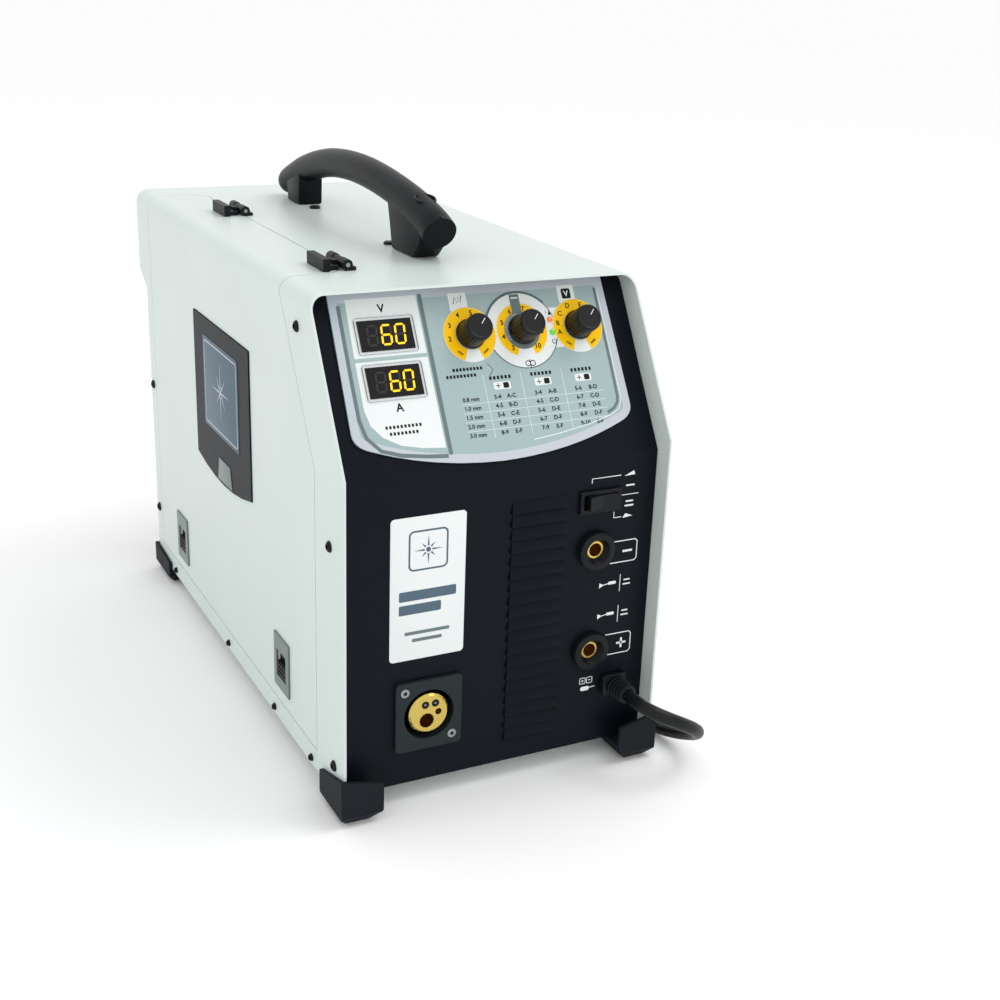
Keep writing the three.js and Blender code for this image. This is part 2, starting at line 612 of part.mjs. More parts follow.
function feedPlate() {
  const outline = [[58, 8], [58, 60], [66, 76], [112, 76], [138, 84], [146, 60], [146, 8]];
  const plate = prismX(outline, ...FEEDER.plate);
  const pivotPost = rod(4, -63, FEEDER.plate[0] + 1, AXIS_X, [0, FEEDER.pivotY, FEEDER.pivotZ], 20);
  const outlet = box([-57, -23], [60, 66], [WIRE.z - 6, WIRE.z + 6]);
  const { screwX } = FEEDER;
  const slot = box([screwX - 3.2, screwX + 3.2], [50, 74.5], [10, 40]);
  const slotRest = cut(box([screwX - 6, -23], [58, 78], [20, 30]), slot);
  const shaftHole = rod(4.6, -40, 0, AXIS_X, [0, ROLL.y, DRIVE_Z]);
  const wireHole = rod(2, 50, 80, AXIS_Y, [WIRE.x, 0, WIRE.z], 12);
  return cut(join(plate, pivotPost, outlet, slotRest), shaftHole, wireHole);
}

function feedMotor() {
  const [y, z] = [ROLL.y, DRIVE_Z];
  const body = rod(24.5, -8, 66, AXIS_X, [0, y, z], 24);
  const gearbox = box([DIVIDER_X + SHEET + 0.5, -6], [y - 24, y + 24], [z - 24, z + 26]);
  const cap = rod(12, 64, 72, AXIS_X, [0, y, z], 24);
  const bore = rod(4.6, -30, -10, AXIS_X, [0, y, z]);
  return cut(join(body, gearbox, cap), bore);
}

function grooved(radius, [from, to]) {
  const middle = (from + to) / 2;
  return [
    [0, from], [radius - 0.8, from], [radius, from + 0.8], [radius, middle - 1], [radius - 1, middle],
    [radius, middle + 1], [radius, to - 0.8], [radius - 0.8, to], [0, to],
  ];
}

function driveRoll() {
  const roll = turned(grooved(ROLL.radius, ROLL_X), AXIS_X, [0, ROLL.y, DRIVE_Z], 24);
  const shaft = rod(4, ROLL_X[1] - 1, -12, AXIS_X, [0, ROLL.y, DRIVE_Z]);
  const cap = rod(7, ROLL_X[0] - 5, ROLL_X[0] + 1, AXIS_X, [0, ROLL.y, DRIVE_Z], 6);
  return join(roll, shaft, cap);
}

function idlerRoll() {
  const ringPart = turned(grooved(ROLL.radius, ROLL_X), AXIS_X, [0, ROLL.y, IDLER_Z], 24);
  return cut(ringPart, rod(4.4, -80, -30, AXIS_X, [0, ROLL.y, IDLER_Z]));
}

// Lever over the idler: a side cheek with the idler's axle, a bored boss at the pivot and a forked nose.
function pressureArm() {
  const { pivotY, pivotZ, screwX, screwY } = FEEDER;
  const cheekOutline = [
    [screwY - 8, 76], [screwY - 8, 84], [ROLL.y, 84], [pivotY + 7, 74], [pivotY + 8, pivotZ],
    [pivotY, pivotZ - 8], [ROLL.y + 7, IDLER_Z - 7], [ROLL.y - 7, IDLER_Z - 7], [ROLL.y - 12, 70],
  ];
  const cheek = prismX(cheekOutline, ROLL_X[1] + 0.6, ROLL_X[1] + 5);
  const roof = box([screwX - 6, ROLL_X[1] + 1], [screwY - 8, ROLL.y - 6], [76, 84]);
  const axle = rod(4, ROLL_X[0] - 1, ROLL_X[1] + 1.5, AXIS_X, [0, ROLL.y, IDLER_Z]);
  const boss = rod(8, -60, ROLL_X[1] + 3, AXIS_X, [0, pivotY, pivotZ], 24);
  const bore = rod(4.3, -80, -20, AXIS_X, [0, pivotY, pivotZ], 20);
  const fork = box([screwX - 3.4, screwX + 3.4], [screwY - 20, screwY + 4], [60, 90]);
  return cut(join(cheek, roof, axle, boss), bore, fork);
}

function tensionScrew() {
  const centre = [FEEDER.screwX, FEEDER.screwY, 0];
  const profile = [
    [0, 24], [2.4, 24], [2.4, 88.3], [6.2, 88.3], [6.2, 92], [9, 94], [9, 112], [7.6, 114], [0, 114],
  ];
  return turned(profile, AXIS_Z, centre, 24);
}

function inletGuide() {
  const post = box([FEEDER.plate[0] - 28, FEEDER.plate[0] - 0.3], [147, 155], [36, 52]);
  const web = box([FEEDER.plate[0] - 8, FEEDER.plate[0] - 0.3], [120, 155], [34, 40]);
  const nozzle = rod(3.5, 132, 170, AXIS_Y, [WIRE.x, 0, WIRE.z], 16);
  const wrap = box([WIRE.x - 6, FEEDER.plate[0] - 20], [147, 155], [38, 50]);
  return cut(join(post, web, nozzle, wrap), rod(1.5, 120, 180, AXIS_Y, [WIRE.x, 0, WIRE.z], 12));
}

function spoolHub() {
  const base = DIVIDER_X - 0.3;
  const far = SPOOL.near - SPOOL.width;
  const profile = [
    [0, base], [36, base], [36, base - 4], [SPOOL.bore - 0.5, base - 8], [SPOOL.bore - 0.5, far + 2],
    [SPOOL.bore - 3, far - 0.5], [9, far - 0.5], [9, far - 8], [0, far - 8],
  ];
  return turned(profile, AXIS_X, [0, SPOOL.y, SPOOL.z], 24);
}

function wireSpool() {
  const [near, far] = [SPOOL.near, SPOOL.near - SPOOL.width];
  const { bore, wound, radius } = SPOOL;
  const profile = [
    [bore, near], [radius, near], [radius, near - 3], [wound, near - 3], [wound, far + 3], [radius, far + 3],
    [radius, far], [bore, far], [bore, near],
  ];
  return turned(profile, AXIS_X, [0, SPOOL.y, SPOOL.z], 32);
}

function spoolNut() {
  const far = SPOOL.near - SPOOL.width;
  const centre = [0, SPOOL.y, SPOOL.z];
  const disc = rod(33, far - 7, far - 1, AXIS_X, centre, 32);
  const grip = rod(15, far - 14, far - 6, AXIS_X, centre, 6);
  return cut(join(disc, grip), rod(9.4, far - 20, far + 5, AXIS_X, centre));
}

// ---------------------------------------------------------------- power side and rear

function heatSink() {
  const [left, right, top, low] = [2, 102, 104, 56];
  const points = [[left, top], [left, low]];
  const pitch = (right - left - 2.5) / 12;
  for (let k = 0; k < 12; k += 1) {
    const x = left + k * pitch;
    points.push([x + 2.5, low], [x + 2.5, top - 8], [x + pitch, top - 8], [x + pitch, low]);
  }
  points.push([right, low], [right, top]);
  return prismY(points, 205, 385);
}

function inverterBoard() {
  const board = box([2, 103], [195, 395], [112, 114]);
  const cans = [[28, 230], [66, 230], [28, 272]].map(([x, y]) => rod(16, 113, 158, AXIS_Z, [x, y, 0], 24));
  const choke = ring(9, 20, 113, 131, AXIS_Z, [72, 300, 0], 24);
  const block = ([x, y, width, height]) => box([x, x + width], [y, y + 26], [113, 113 + height]);
  const blocks = [[20, 330, 34, 26], [62, 350, 30, 18]].map(block);
  return join(board, ...cans, choke, ...blocks);
}

function transformer() {
  const window = (x) => box([x, x + 12], [120, 200], [24, 70]);
  const core = cut(box([18, 92], [132, 188], [6, 88]), window(34), window(64));
  const coil = prismZ(roundedRect(55, 160, 36, 74, 10), 26, 68);
  return join(core, coil, box([10, 100], [140, 180], [3, 8]));
}

function fanFrame() {
  const y = [REAR_PANEL_Y - 0.5 - FAN.depth, REAR_PANEL_Y - 0.5];
  const square = prismY(roundedRect(FAN.x, FAN.z, FAN.size, FAN.size, 6), ...y);
  const hollow = cut(square, rod(FAN.opening, y[0] - 1, y[1] + 1, AXIS_Y, [FAN.x, 0, FAN.z], 28));
  const strut = [y[0], y[0] + 4];
  const cross = join(
    box([FAN.x - 58, FAN.x + 58], strut, [FAN.z - 2.5, FAN.z + 2.5]),
    box([FAN.x - 2.5, FAN.x + 2.5], strut, [FAN.z - 58, FAN.z + 58]),
    rod(21, ...strut, AXIS_Y, [FAN.x, 0, FAN.z]), rod(3, y[0], y[0] + 12, AXIS_Y, [FAN.x, 0, FAN.z], 16),
  );
  return join(hollow, cross);
}

function fanRotor() {
  const y0 = REAR_PANEL_Y - FAN.depth + 4.5;
  const hub = rod(20, y0, y0 + 17, AXIS_Y, [FAN.x, 0, FAN.z], 20);
  const bore = rod(3.4, y0 - 1, y0 + 9, AXIS_Y, [FAN.x, 0, FAN.z], 16);
  const blades = [];
  for (let k = 0; k < 7; k += 1) {
    const blade = new THREE.BoxGeometry(36, 1.8, 21);
    blade.rotateX(THREE.MathUtils.degToRad(38));
    blade.translate(36, 0, 0);
    blade.rotateY((2 * Math.PI * k) / 7);
    blade.translate(FAN.x, y0 + 8.5, FAN.z);
    blades.push(solid(blade));
  }
  return cut(join(hub, ...blades), bore);
}

const MAINS = { x: 75, z: 263, pivot: REAR_PANEL_Y - 3.5 };

function mainsSwitchFrame() {
  const out = REAR_PANEL_Y + SHEET;
  const bezel = box([MAINS.x - 15, MAINS.x + 15], [out + 0.3, out + 2.3], [MAINS.z - 13, MAINS.z + 13]);
  const body = box([MAINS.x - 13, MAINS.x + 13], [REAR_PANEL_Y - 18, out + 1], [MAINS.z - 11, MAINS.z + 11]);
  const [x, z] = [MAINS.x, MAINS.z];
  const mouth = box([x - 10, x + 10], [REAR_PANEL_Y - 14, out + 5], [z - 9.6, z + 9.6]);
  return cut(join(bezel, body), mouth);
}

function mainsRocker() {
  const outline = [[9, -7.6], [8, 0], [9, 7.6], [-5, 6.6], [-5, -6.6]];
  const shape = prismX(outline, MAINS.x - 9.5, MAINS.x + 9.5);
  const place = new THREE.Matrix4().makeTranslation(0, MAINS.pivot, MAINS.z);
  return moved(shape, place.multiply(new THREE.Matrix4().makeRotationX(THREE.MathUtils.degToRad(8))));
}

function mainsGland() {
  const out = REAR_PANEL_Y + SHEET + 0.3;
  const nut = ring(5, 14, out, out + 6, AXIS_Y, [60, 0, 40], 6);
  const dome = turned(
    [[5, out + 5], [12, out + 5], [12, out + 17], [9, out + 23], [5, out + 23], [5, out + 5]],
    AXIS_Y, [60, 0, 40],
  );
  const thread = ring(5, 10, REAR_PANEL_Y - 12, out + 1, AXIS_Y, [60, 0, 40]);
  return join(nut, dome, thread);
}

function gasInlet() {
  const out = REAR_PANEL_Y + SHEET + 0.3;
  const barb = [
    [0, out - 20], [6, out - 20], [6, out], [9, out], [9, out + 5], [4.2, out + 5], [4.2, out + 9], [5.2, out + 10],
    [4, out + 14], [5.2, out + 15], [4, out + 19], [5, out + 20], [3.8, out + 23], [0, out + 23],
  ];
  const tail = turned(barb, AXIS_Y, [-40, 0, 60], 20);
  const valve = box([-56, -24], [402, 424], [46, 74]);
  const coil = box([-54, -26], [404, 422], [73, 96]);
  return cut(join(tail, valve, coil), rod(2.2, out - 5, out + 30, AXIS_Y, [-40, 0, 60], 12));
}

// ---------------------------------------------------------------- assembly

add("base_tray", baseTray(), "shell");
add("outer_shell", outerShell(), "shell");
add("rear_panel", rearPanel(), "dark");
add("front_panel", frontPanel(), "dark");
add("control_plate", controlPlate(), "plate", slope);
add("side_door", sideDoor(), "shell");
add("door_badge", prismX(badgeOutline(0), -HALF - 1, -INSIDE + 1.5), "dark");
add("divider_plate", dividerPlate(), "steel");
for (const [sideName, side] of [["left", -1], ["right", 1]]) {
  add(`foot_front_${sideName}`, foot(side, -1), "slate");
  add(`foot_rear_${sideName}`, foot(side, 1), "slate");
}
add("carry_handle", carryHandle(), "black");
for (const [k, end] of ["front", "rear"].entries()) {
  add(`hinge_base_${end}`, hingeBase(HINGE.front[k]), "black");
  add(`hinge_leaf_${end}`, hingeLeaf(HINGE.front[k]), "black");
  add(`hinge_pin_${end}`, hingePin(HINGE.front[k]), "steel");
  add(`latch_plate_${end}`, latchPlate(LATCHES[end]), "steel");
  add(`latch_slider_${end}`, latchSlider(LATCHES[end]), "black");
}

for (const [name, place] of Object.entries(DISPLAYS)) {
  add(`display_${name}`, display(place), "display", slope);
}
for (const [name, x] of Object.entries(KNOBS)) add(`knob_${name}`, knob(x), "black", slope);
add("lamp_orange", lamp(LAMPS.orange), "lampOrange", slope);
add("lamp_green", lamp(LAMPS.green), "lampGreen", slope);
add("mode_switch_frame", modeSwitchFrame(), "black");
add("mode_rocker", modeRocker(), "black");
for (const [name, place] of Object.entries(SOCKETS)) {
  add(`socket_${name}`, socketBody(place), "black");
  add(`socket_insert_${name}`, socketInsert(place), "brass");
}
add("torch_flange", torchFlange(), "slate");
add("torch_connector", torchConnector(), "brass");
add("lead_grommet", leadGrommet(), "black");
add("polarity_lead", tube(LEAD_PATH, LEAD_RADIUS, 8, 46), "rubber");
add("polarity_plug", polarityPlug(), "black");

add("feed_plate", feedPlate(), "black");
add("feed_motor", feedMotor(), "steel");
add("drive_roll", driveRoll(), "steel");
add("idler_roll", idlerRoll(), "steel");
add("pressure_arm", pressureArm(), "steel");
add("tension_screw", tensionScrew(), "black");
add("inlet_guide", inletGuide(), "brass");
add("spool_hub", spoolHub(), "black");
add("wire_spool", wireSpool(), "wire");
add("spool_nut", spoolNut(), "black");

add("heat_sink", heatSink(), "aluminium");
add("inverter_board", inverterBoard(), "board");
add("transformer", transformer(), "copper");
add("fan_frame", fanFrame(), "black");
add("fan_rotor", fanRotor(), "black");
add("mains_switch_frame", mainsSwitchFrame(), "black");
add("mains_rocker", mainsRocker(), "black");
add("mains_gland", mainsGland(), "black");
add("gas_inlet", gasInlet(), "brass");

export default group;
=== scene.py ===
"""Looks of a compact MIG welding machine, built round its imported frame.

Sizes are millimetres until a piece is placed. Every surface that carries parts has its own axes:
u to the right, v up the surface and h out of it, as someone facing it sees them.
"""

from __future__ import annotations

import json
import logging
import math
from dataclasses import dataclass, field
from enum import Enum
from typing import Any, Iterable, Sequence

import bmesh
import bpy
from mathutils import Matrix, Vector
from mathutils.geometry import interpolate_bezier

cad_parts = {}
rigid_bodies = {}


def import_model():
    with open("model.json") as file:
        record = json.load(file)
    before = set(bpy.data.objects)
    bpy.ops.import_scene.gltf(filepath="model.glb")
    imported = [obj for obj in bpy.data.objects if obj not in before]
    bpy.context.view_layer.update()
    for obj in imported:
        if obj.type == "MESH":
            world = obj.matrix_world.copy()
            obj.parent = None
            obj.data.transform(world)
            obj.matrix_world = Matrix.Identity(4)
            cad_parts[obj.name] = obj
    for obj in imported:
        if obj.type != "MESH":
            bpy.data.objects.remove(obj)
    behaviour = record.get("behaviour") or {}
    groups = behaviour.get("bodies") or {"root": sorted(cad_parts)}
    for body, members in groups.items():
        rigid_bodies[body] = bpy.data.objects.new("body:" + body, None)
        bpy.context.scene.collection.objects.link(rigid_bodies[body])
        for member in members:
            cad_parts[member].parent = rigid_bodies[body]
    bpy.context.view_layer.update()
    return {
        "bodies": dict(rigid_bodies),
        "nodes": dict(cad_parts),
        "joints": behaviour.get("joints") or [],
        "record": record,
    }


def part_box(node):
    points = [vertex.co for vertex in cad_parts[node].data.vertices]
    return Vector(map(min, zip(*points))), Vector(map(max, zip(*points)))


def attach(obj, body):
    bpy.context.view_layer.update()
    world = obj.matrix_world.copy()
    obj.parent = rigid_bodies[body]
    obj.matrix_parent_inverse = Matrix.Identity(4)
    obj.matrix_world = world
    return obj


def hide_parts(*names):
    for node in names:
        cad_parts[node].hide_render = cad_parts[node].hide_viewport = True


LOG = logging.getLogger("welder")
MM = 0.001
LEAN = math.atan2(58, 96)  # the slanted panel's lean back from upright
PANEL_Y = 13.0  # lower front panel, behind the shell's front edge
HALF_WIDTH = 110.0
TOP = 308.0
REAR_FACE = 440.0
SLOPE_RECESS = 16.0
KINK = 212.0
PLATE_FACE = 1.5  # the control plate stands this far off the slanted panel
LIFT = 0.06  # one layer of print over another

Point2 = tuple[float, float]
Point3 = tuple[float, float, float]
Shape = bmesh.types.BMesh


# ---------------------------------------------------------------- finishes


def linear(code: str) -> tuple[float, float, float, float]:
    """Turns an sRGB hex value to a linear colour.

    Args:
        code: six hex digits.

    Returns:
        Linear red, green, blue and an alpha of 1.
    """
    parts = [int(code[i : i + 2], 16) / 255 for i in (0, 2, 4)]
    r, g, b = [c / 12.92 if c <= 0.04045 else ((c + 0.055) / 1.055) ** 2.4 for c in parts]
    return (r, g, b, 1.0)


def add_node(tree: Any, kind: str, settings: dict[str, Any], inputs: dict[str, Any]) -> Any:
    """Adds a node with its settings, values and links.

    Args:
        tree: the node tree.
        kind: the node's type.
        settings: attributes to set on the node.
        inputs: a value or an output socket for each named or numbered input.

    Returns:
        The node.
    """
    node = tree.nodes.new(kind)
    for name, value in settings.items():
        setattr(node, name, value)
    for name, value in inputs.items():
        if isinstance(value, bpy.types.NodeSocket):
            tree.links.new(value, node.inputs[name])
        else:
            node.inputs[name].default_value = value
    return node


class Pattern(Enum):
    """How a finish's fine relief runs."""

    GRAIN = "even grain"
    BRUSHED_X = "lines along the width"
    TURNED = "fine lines round the depth axis"
    WOUND = "strands side by side across the width"


@dataclass(frozen=True)
class Finish:
    """One real material with its surface.

    grain is the size of the relief and depth its height, both in millimetres.
    """

    name: str
    colour: str
    shade: str
    roughness: float = 0.5
    spread: float = 0.06
    grain: float = 0.8
    depth: float = 0.02
    metallic: float = 0.0
    gloss: float = 0.5
    coat: float = 0.0
    glow: float = 0.0
    cloud: float = 70.0  # size of the slow drift between colour and shade
    pattern: Pattern = Pattern.GRAIN

    def material(self) -> bpy.types.Material:
        """Builds the material, or returns it if it is already there."""
        made = bpy.data.materials.get(self.name)
        if made:
            return made
        made = bpy.data.materials.new(self.name)
        made.use_nodes = True
        tree = made.node_tree
        shader = tree.nodes["Principled BSDF"]
        place = tree.nodes.new("ShaderNodeTexCoord").outputs["Object"]
        drift = add_node(
            tree, "ShaderNodeTexNoise", {}, {"Vector": place, "Scale": 1 / (self.cloud * MM), "Detail": 3.0}
        )
        tint = add_node(
            tree, "ShaderNodeMix", {"data_type": "RGBA"},
            {0: drift.outputs["Fac"], 6: linear(self.colour), 7: linear(self.shade)},
        )
        tree.links.new(tint.outputs[2], shader.inputs["Base Color"])
        relief = self._relief(tree, place)
        gloss = add_node(
            tree, "ShaderNodeMapRange", {},
            {"Value": relief, "To Min": self.roughness - self.spread, "To Max": self.roughness + self.spread},
        )
        tree.links.new(gloss.outputs["Result"], shader.inputs["Roughness"])
        bump = add_node(
            tree, "ShaderNodeBump", {}, {"Height": relief, "Strength": 1.0, "Distance": self.depth * MM}
        )
        tree.links.new(bump.outputs["Normal"], shader.inputs["Normal"])
        shader.inputs["Metallic"].default_value = self.metallic
        shader.inputs["Specular IOR Level"].default_value = self.gloss
        shader.inputs["Coat Weight"].default_value = self.coat
        if self.glow:
            shader.inputs["Emission Color"].default_value = linear(self.colour)
            shader.inputs["Emission Strength"].default_value = self.glow
        made.diffuse_color = linear(self.colour)
        return made

    def _relief(self, tree: Any, place: Any) -> Any:
        """Adds the fine pattern's nodes.

        Args:
            tree: the node tree.
            place: the output socket with object coordinates.

        Returns:
            The output socket with the pattern's height, 0 to 1.
        """
        per_metre = 1 / (self.grain * MM)
        if self.pattern is Pattern.WOUND:
            wave = add_node(
                tree, "ShaderNodeTexWave", {"bands_direction": "X"},
                {"Vector": place, "Scale": per_metre / 2, "Distortion": 0.6, "Detail": 1.0},
            )
            return wave.outputs["Fac"]
        if self.pattern is Pattern.TURNED:
            wave = add_node(
                tree, "ShaderNodeTexWave", {"wave_type": "BANDS", "bands_direction": "Y"},
                {"Vector": place, "Scale": per_metre / 2, "Distortion": 1.5, "Detail": 2.0},
            )
            return wave.outputs["Fac"]
        if self.pattern is Pattern.BRUSHED_X:
            place = add_node(
                tree, "ShaderNodeMapping", {}, {"Vector": place, "Scale": (0.03, 1.0, 1.0)}
            ).outputs["Vector"]
        noise = add_node(
            tree, "ShaderNodeTexNoise", {}, {"Vector": place, "Scale": per_metre, "Detail": 2.0}
        )
        return noise.outputs["Fac"]


# Powder coat: an even, slightly pebbled skin, 0.9 mm orange peel drawn at 1.4 mm so that it still shows.
POWDER_COAT = Finish("powder_coated_steel", "D3DEDA", "CDD8D4", 0.36, 0.04, 1.4, 0.012, gloss=0.35)
# ABS moulding: spark-eroded tool grain gives it a soft, slightly broken sheen.
MOULDED_ABS = Finish("navy_black_abs_moulding", "0B1219", "080E15", 0.42, 0.08, 1.2, 0.03, gloss=0.1)
# Screen-printed foil: a dead smooth skin whose soft sheen lets the inks stand out.
POLYCARBONATE_FOIL = Finish("satin_polycarbonate_foil", "9CB1B1", "A2B6B6", 0.34, 0.04, 0.9, 0.006, gloss=0.3)
FOIL_RIM = Finish("pale_polycarbonate_rim", "C0C6CE", "BBC2CA", 0.36, 0.04, 0.9, 0.006, gloss=0.3)
WHITE_INK = Finish("white_screen_ink", "E6EBEA", "E1E7E6", 0.45, 0.04, 1.0, 0.004, gloss=0.3)
GREY_INK = Finish("grey_screen_ink", "6C7C7C", "657575", 0.45, 0.04, 1.0, 0.004, gloss=0.2)
DARK_INK = Finish("charcoal_screen_ink", "15191B", "101416", 0.45, 0.04, 1.0, 0.004, gloss=0.15)
YELLOW_INK = Finish("signal_yellow_screen_ink", "FCC800", "F8C200", 0.4, 0.04, 1.0, 0.004, gloss=0.15)
BLUE_GREY_INK = Finish("slate_blue_screen_ink", "4A6274", "44596A", 0.45, 0.04, 1.0, 0.004)
# Smoked acrylic: nearly black with a hard clear gloss.
SMOKED_ACRYLIC = Finish("smoked_acrylic_lens", "050506", "070708", 0.12, 0.03, 6.0, 0.004, gloss=0.3)
UNLIT_SEGMENT = Finish("unlit_display_segment", "1C1B18", "1A1916", 0.3, 0.03, 2.0, 0.002)
LIT_SEGMENT = Finish("lit_amber_display_segment", "F5B800", "F5BE10", 0.3, 0.03, 2.0, 0.002, glow=0.85)
# Glass-filled nylon: fibres near the skin leave it dull with a faint mottle.
BLACK_NYLON = Finish("glass_filled_black_nylon", "0B0D10", "101216", 0.42, 0.1, 0.9, 0.03, gloss=0.2)
GRIP_NYLON = Finish("charcoal_glass_filled_nylon", "0A0E11", "080B0E", 0.38, 0.08, 1.0, 0.035, gloss=0.14)
FOOT_RUBBER = Finish("slate_moulded_rubber", "12191F", "0F151B", 0.62, 0.08, 1.3, 0.05, gloss=0.18)
SHEATH_RUBBER = Finish("extruded_rubber_sheath", "0A0C0E", "0D0F12", 0.4, 0.1, 1.6, 0.03, gloss=0.25)
KNOB_ABS = Finish("satin_black_abs_knob", "060708", "0A0B0D", 0.3, 0.06, 0.9, 0.02, gloss=0.3)
# Turned brass: the lathe's feed marks streak its highlights.
TURNED_BRASS = Finish("turned_brass", "D9C06A", "CDB45C", 0.26, 0.06, 0.8, 0.02, 1.0, pattern=Pattern.TURNED)
# Painted shade: a dark red-brown metal disc set deep in a bore darkens the inside of the brass round it.
BORE_SHADE = Finish("painted_bore_shade", "6A2A12", "4A1C0C", 0.4, 0.1, 0.8, 0.03, 0.6)
ZINC_PLATE = Finish("zinc_plated_steel", "9DA5A8", "8E979A", 0.34, 0.08, 1.2, 0.02, 0.9)
LATCH_STEEL = Finish("satin_nickel_steel_plate", "7E8A87", "76827F", 0.38, 0.06, 1.2, 0.015, 0.6)
EXTRUDED_ALUMINIUM = Finish(
    "extruded_aluminium", "B9BDC0", "ADB2B5", 0.4, 0.08, 0.9, 0.02, 0.95, pattern=Pattern.BRUSHED_X
)
ORANGE_LENS = Finish("orange_lamp_lens", "E67A22", "E8842C", 0.15, 0.03, 2.0, 0.004, glow=0.25, coat=0.6)
GREEN_LENS = Finish("green_lamp_lens", "3FC01F", "4AC62C", 0.15, 0.03, 2.0, 0.004, glow=0.35, coat=0.6)
SOLDER_RESIST = Finish("green_solder_resist", "1F5B34", "2A6B3F", 0.4, 0.08, 2.5, 0.05)
VARNISHED_COPPER = Finish(
    "varnished_copper_winding", "B5651D", "9C5212", 0.35, 0.08, 1.4, 0.2, 0.8, pattern=Pattern.WOUND
)
WELDING_WIRE = Finish(
    "copper_coated_welding_wire", "C07A45", "A9683A", 0.28, 0.06, 1.2, 0.2, 0.95, pattern=Pattern.WOUND
)
REEL_PLASTIC = Finish("black_polystyrene_reel", "222427", "2A2C2F", 0.4, 0.08, 1.5, 0.03)


# ---------------------------------------------------------------- surfaces and shapes


@dataclass(frozen=True)
class Surface:
    """A flat place on the machine with its own axes, in case millimetres."""

    origin: Point3
    u: Point3
    v: Point3

    def matrix(self) -> Matrix:
        """Matrix from this surface's millimetres to the row frame's metres."""
        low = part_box("outer_shell")[0]
        case = Vector((0.0, low.y, low.z))
        u, v = Vector(self.u), Vector(self.v)
        turn = Matrix((u, v, u.cross(v))).transposed().to_4x4()
        start = Matrix.Translation(case + Vector(self.origin) * MM)
        return start @ turn @ Matrix.Scale(MM, 4)


SLOPE_FOOT = (0.0, SLOPE_RECESS * math.cos(LEAN), KINK - SLOPE_RECESS * math.sin(LEAN))
UP_SLOPE = (0.0, math.sin(LEAN), math.cos(LEAN))
CASE = Surface((0, 0, 0), (1, 0, 0), (0, 1, 0))
PANEL = Surface((0, PANEL_Y, 0), (1, 0, 0), (0, 0, 1))
SLOPE = Surface(SLOPE_FOOT, (1, 0, 0), UP_SLOPE)
LEFT = Surface((-HALF_WIDTH, 0, 0), (0, -1, 0), (0, 0, 1))
RIGHT = Surface((HALF_WIDTH, 0, 0), (0, 1, 0), (0, 0, 1))
BACK = Surface((0, REAR_FACE, 0), (-1, 0, 0), (0, 0, 1))


def smooth_path(points: Sequence[Point3], steps: int) -> list[Vector]:
    """Lays a smooth line through points.

    Args:
        points: the points it passes through.
        steps: the number of steps between two of them.

    Returns:
        Points along the line, the ends among them.
    """
    knots = [Vector(p) for p in points]
    ends = [knots[0] * 2 - knots[1], *knots, knots[-1] * 2 - knots[-2]]
    line = [knots[0]]
    for before, start, stop, after in zip(ends, ends[1:], ends[2:], ends[3:]):
        first = start + (stop - before) / 6
        second = stop - (after - start) / 6
        line.extend(interpolate_bezier(start, first, second, stop, steps + 1)[1:])
    return line


def rounded(centre: Point2, size: Point2, radius: float, steps: int = 5) -> list[Point2]:
    """Outline of a rectangle with rounded corners, counter-clockwise."""
    outline = []
    for k, (sx, sy) in enumerate(((1, 1), (-1, 1), (-1, -1), (1, -1))):
        cx = centre[0] + sx * (size[0] / 2 - radius)
        cy = centre[1] + sy * (size[1] / 2 - radius)
        for i in range(steps + 1):
            angle = math.pi / 2 * (k + i / steps)
            outline.append((cx + radius * math.cos(angle), cy + radius * math.sin(angle)))
    return outline


def at_angle(radius: float, degrees: float, centre: Point2 = (0, 0)) -> Point2:
    """The point at a radius and a clock angle, clockwise from straight up."""
    angle = math.radians(90 - degrees)
    return (centre[0] + radius * math.cos(angle), centre[1] + radius * math.sin(angle))


def block(size: Point3, centre: Point3, edge: float = 0.0) -> Shape:
    """A rectangular block, with rounded edges if they are given a radius."""
    bm = bmesh.new()
    bmesh.ops.create_cube(bm, size=1)
    bmesh.ops.scale(bm, vec=size, verts=bm.verts)
    if edge:
        soften(bm, bm.edges, edge)
    bmesh.ops.translate(bm, vec=centre, verts=bm.verts)
    return bm


def soften(bm: Shape, edges: Iterable[Any], width: float, segments: int = 2) -> None:
    """Rounds edges of a mesh."""
    bmesh.ops.bevel(
        bm, geom=list(edges), offset=width, offset_type="OFFSET", affect="EDGES",
        segments=segments, profile=0.5, material=-1, clamp_overlap=True,
    )


def sharp_edges(bm: Shape) -> list[Any]:
    """Edges where two faces meet at more than 30 degrees."""
    bm.normal_update()
    limit = math.radians(30)
    return [e for e in bm.edges if len(e.link_faces) == 2 and e.calc_face_angle(0) > limit]


def turned(profile: Sequence[Point2], steps: int = 40) -> Shape:
    """A lathe shape about the h axis.

    Args:
        profile: points of radius and height, in order.
        steps: facets round it.

    Returns:
        The mesh, with its doubles merged and its faces outwards.
    """
    bm = bmesh.new()
    verts = [bm.verts.new((r, 0, h)) for r, h in profile]
    edges = [bm.edges.new(pair) for pair in zip(verts, verts[1:])]
    bmesh.ops.spin(
        bm, geom=verts + edges, cent=(0, 0, 0), axis=(0, 0, 1), angle=math.tau, steps=steps, use_merge=True
    )
    bmesh.ops.remove_doubles(bm, verts=bm.verts, dist=1e-4)
    bmesh.ops.recalc_face_normals(bm, faces=bm.faces)
    return bm


def ring(inner: float, outer: float, low: float, high: float, steps: int = 48) -> Shape:
    """A flat ring with square edges."""
    return turned([(inner, low), (outer, low), (outer, high), (inner, high), (inner, low)], steps)


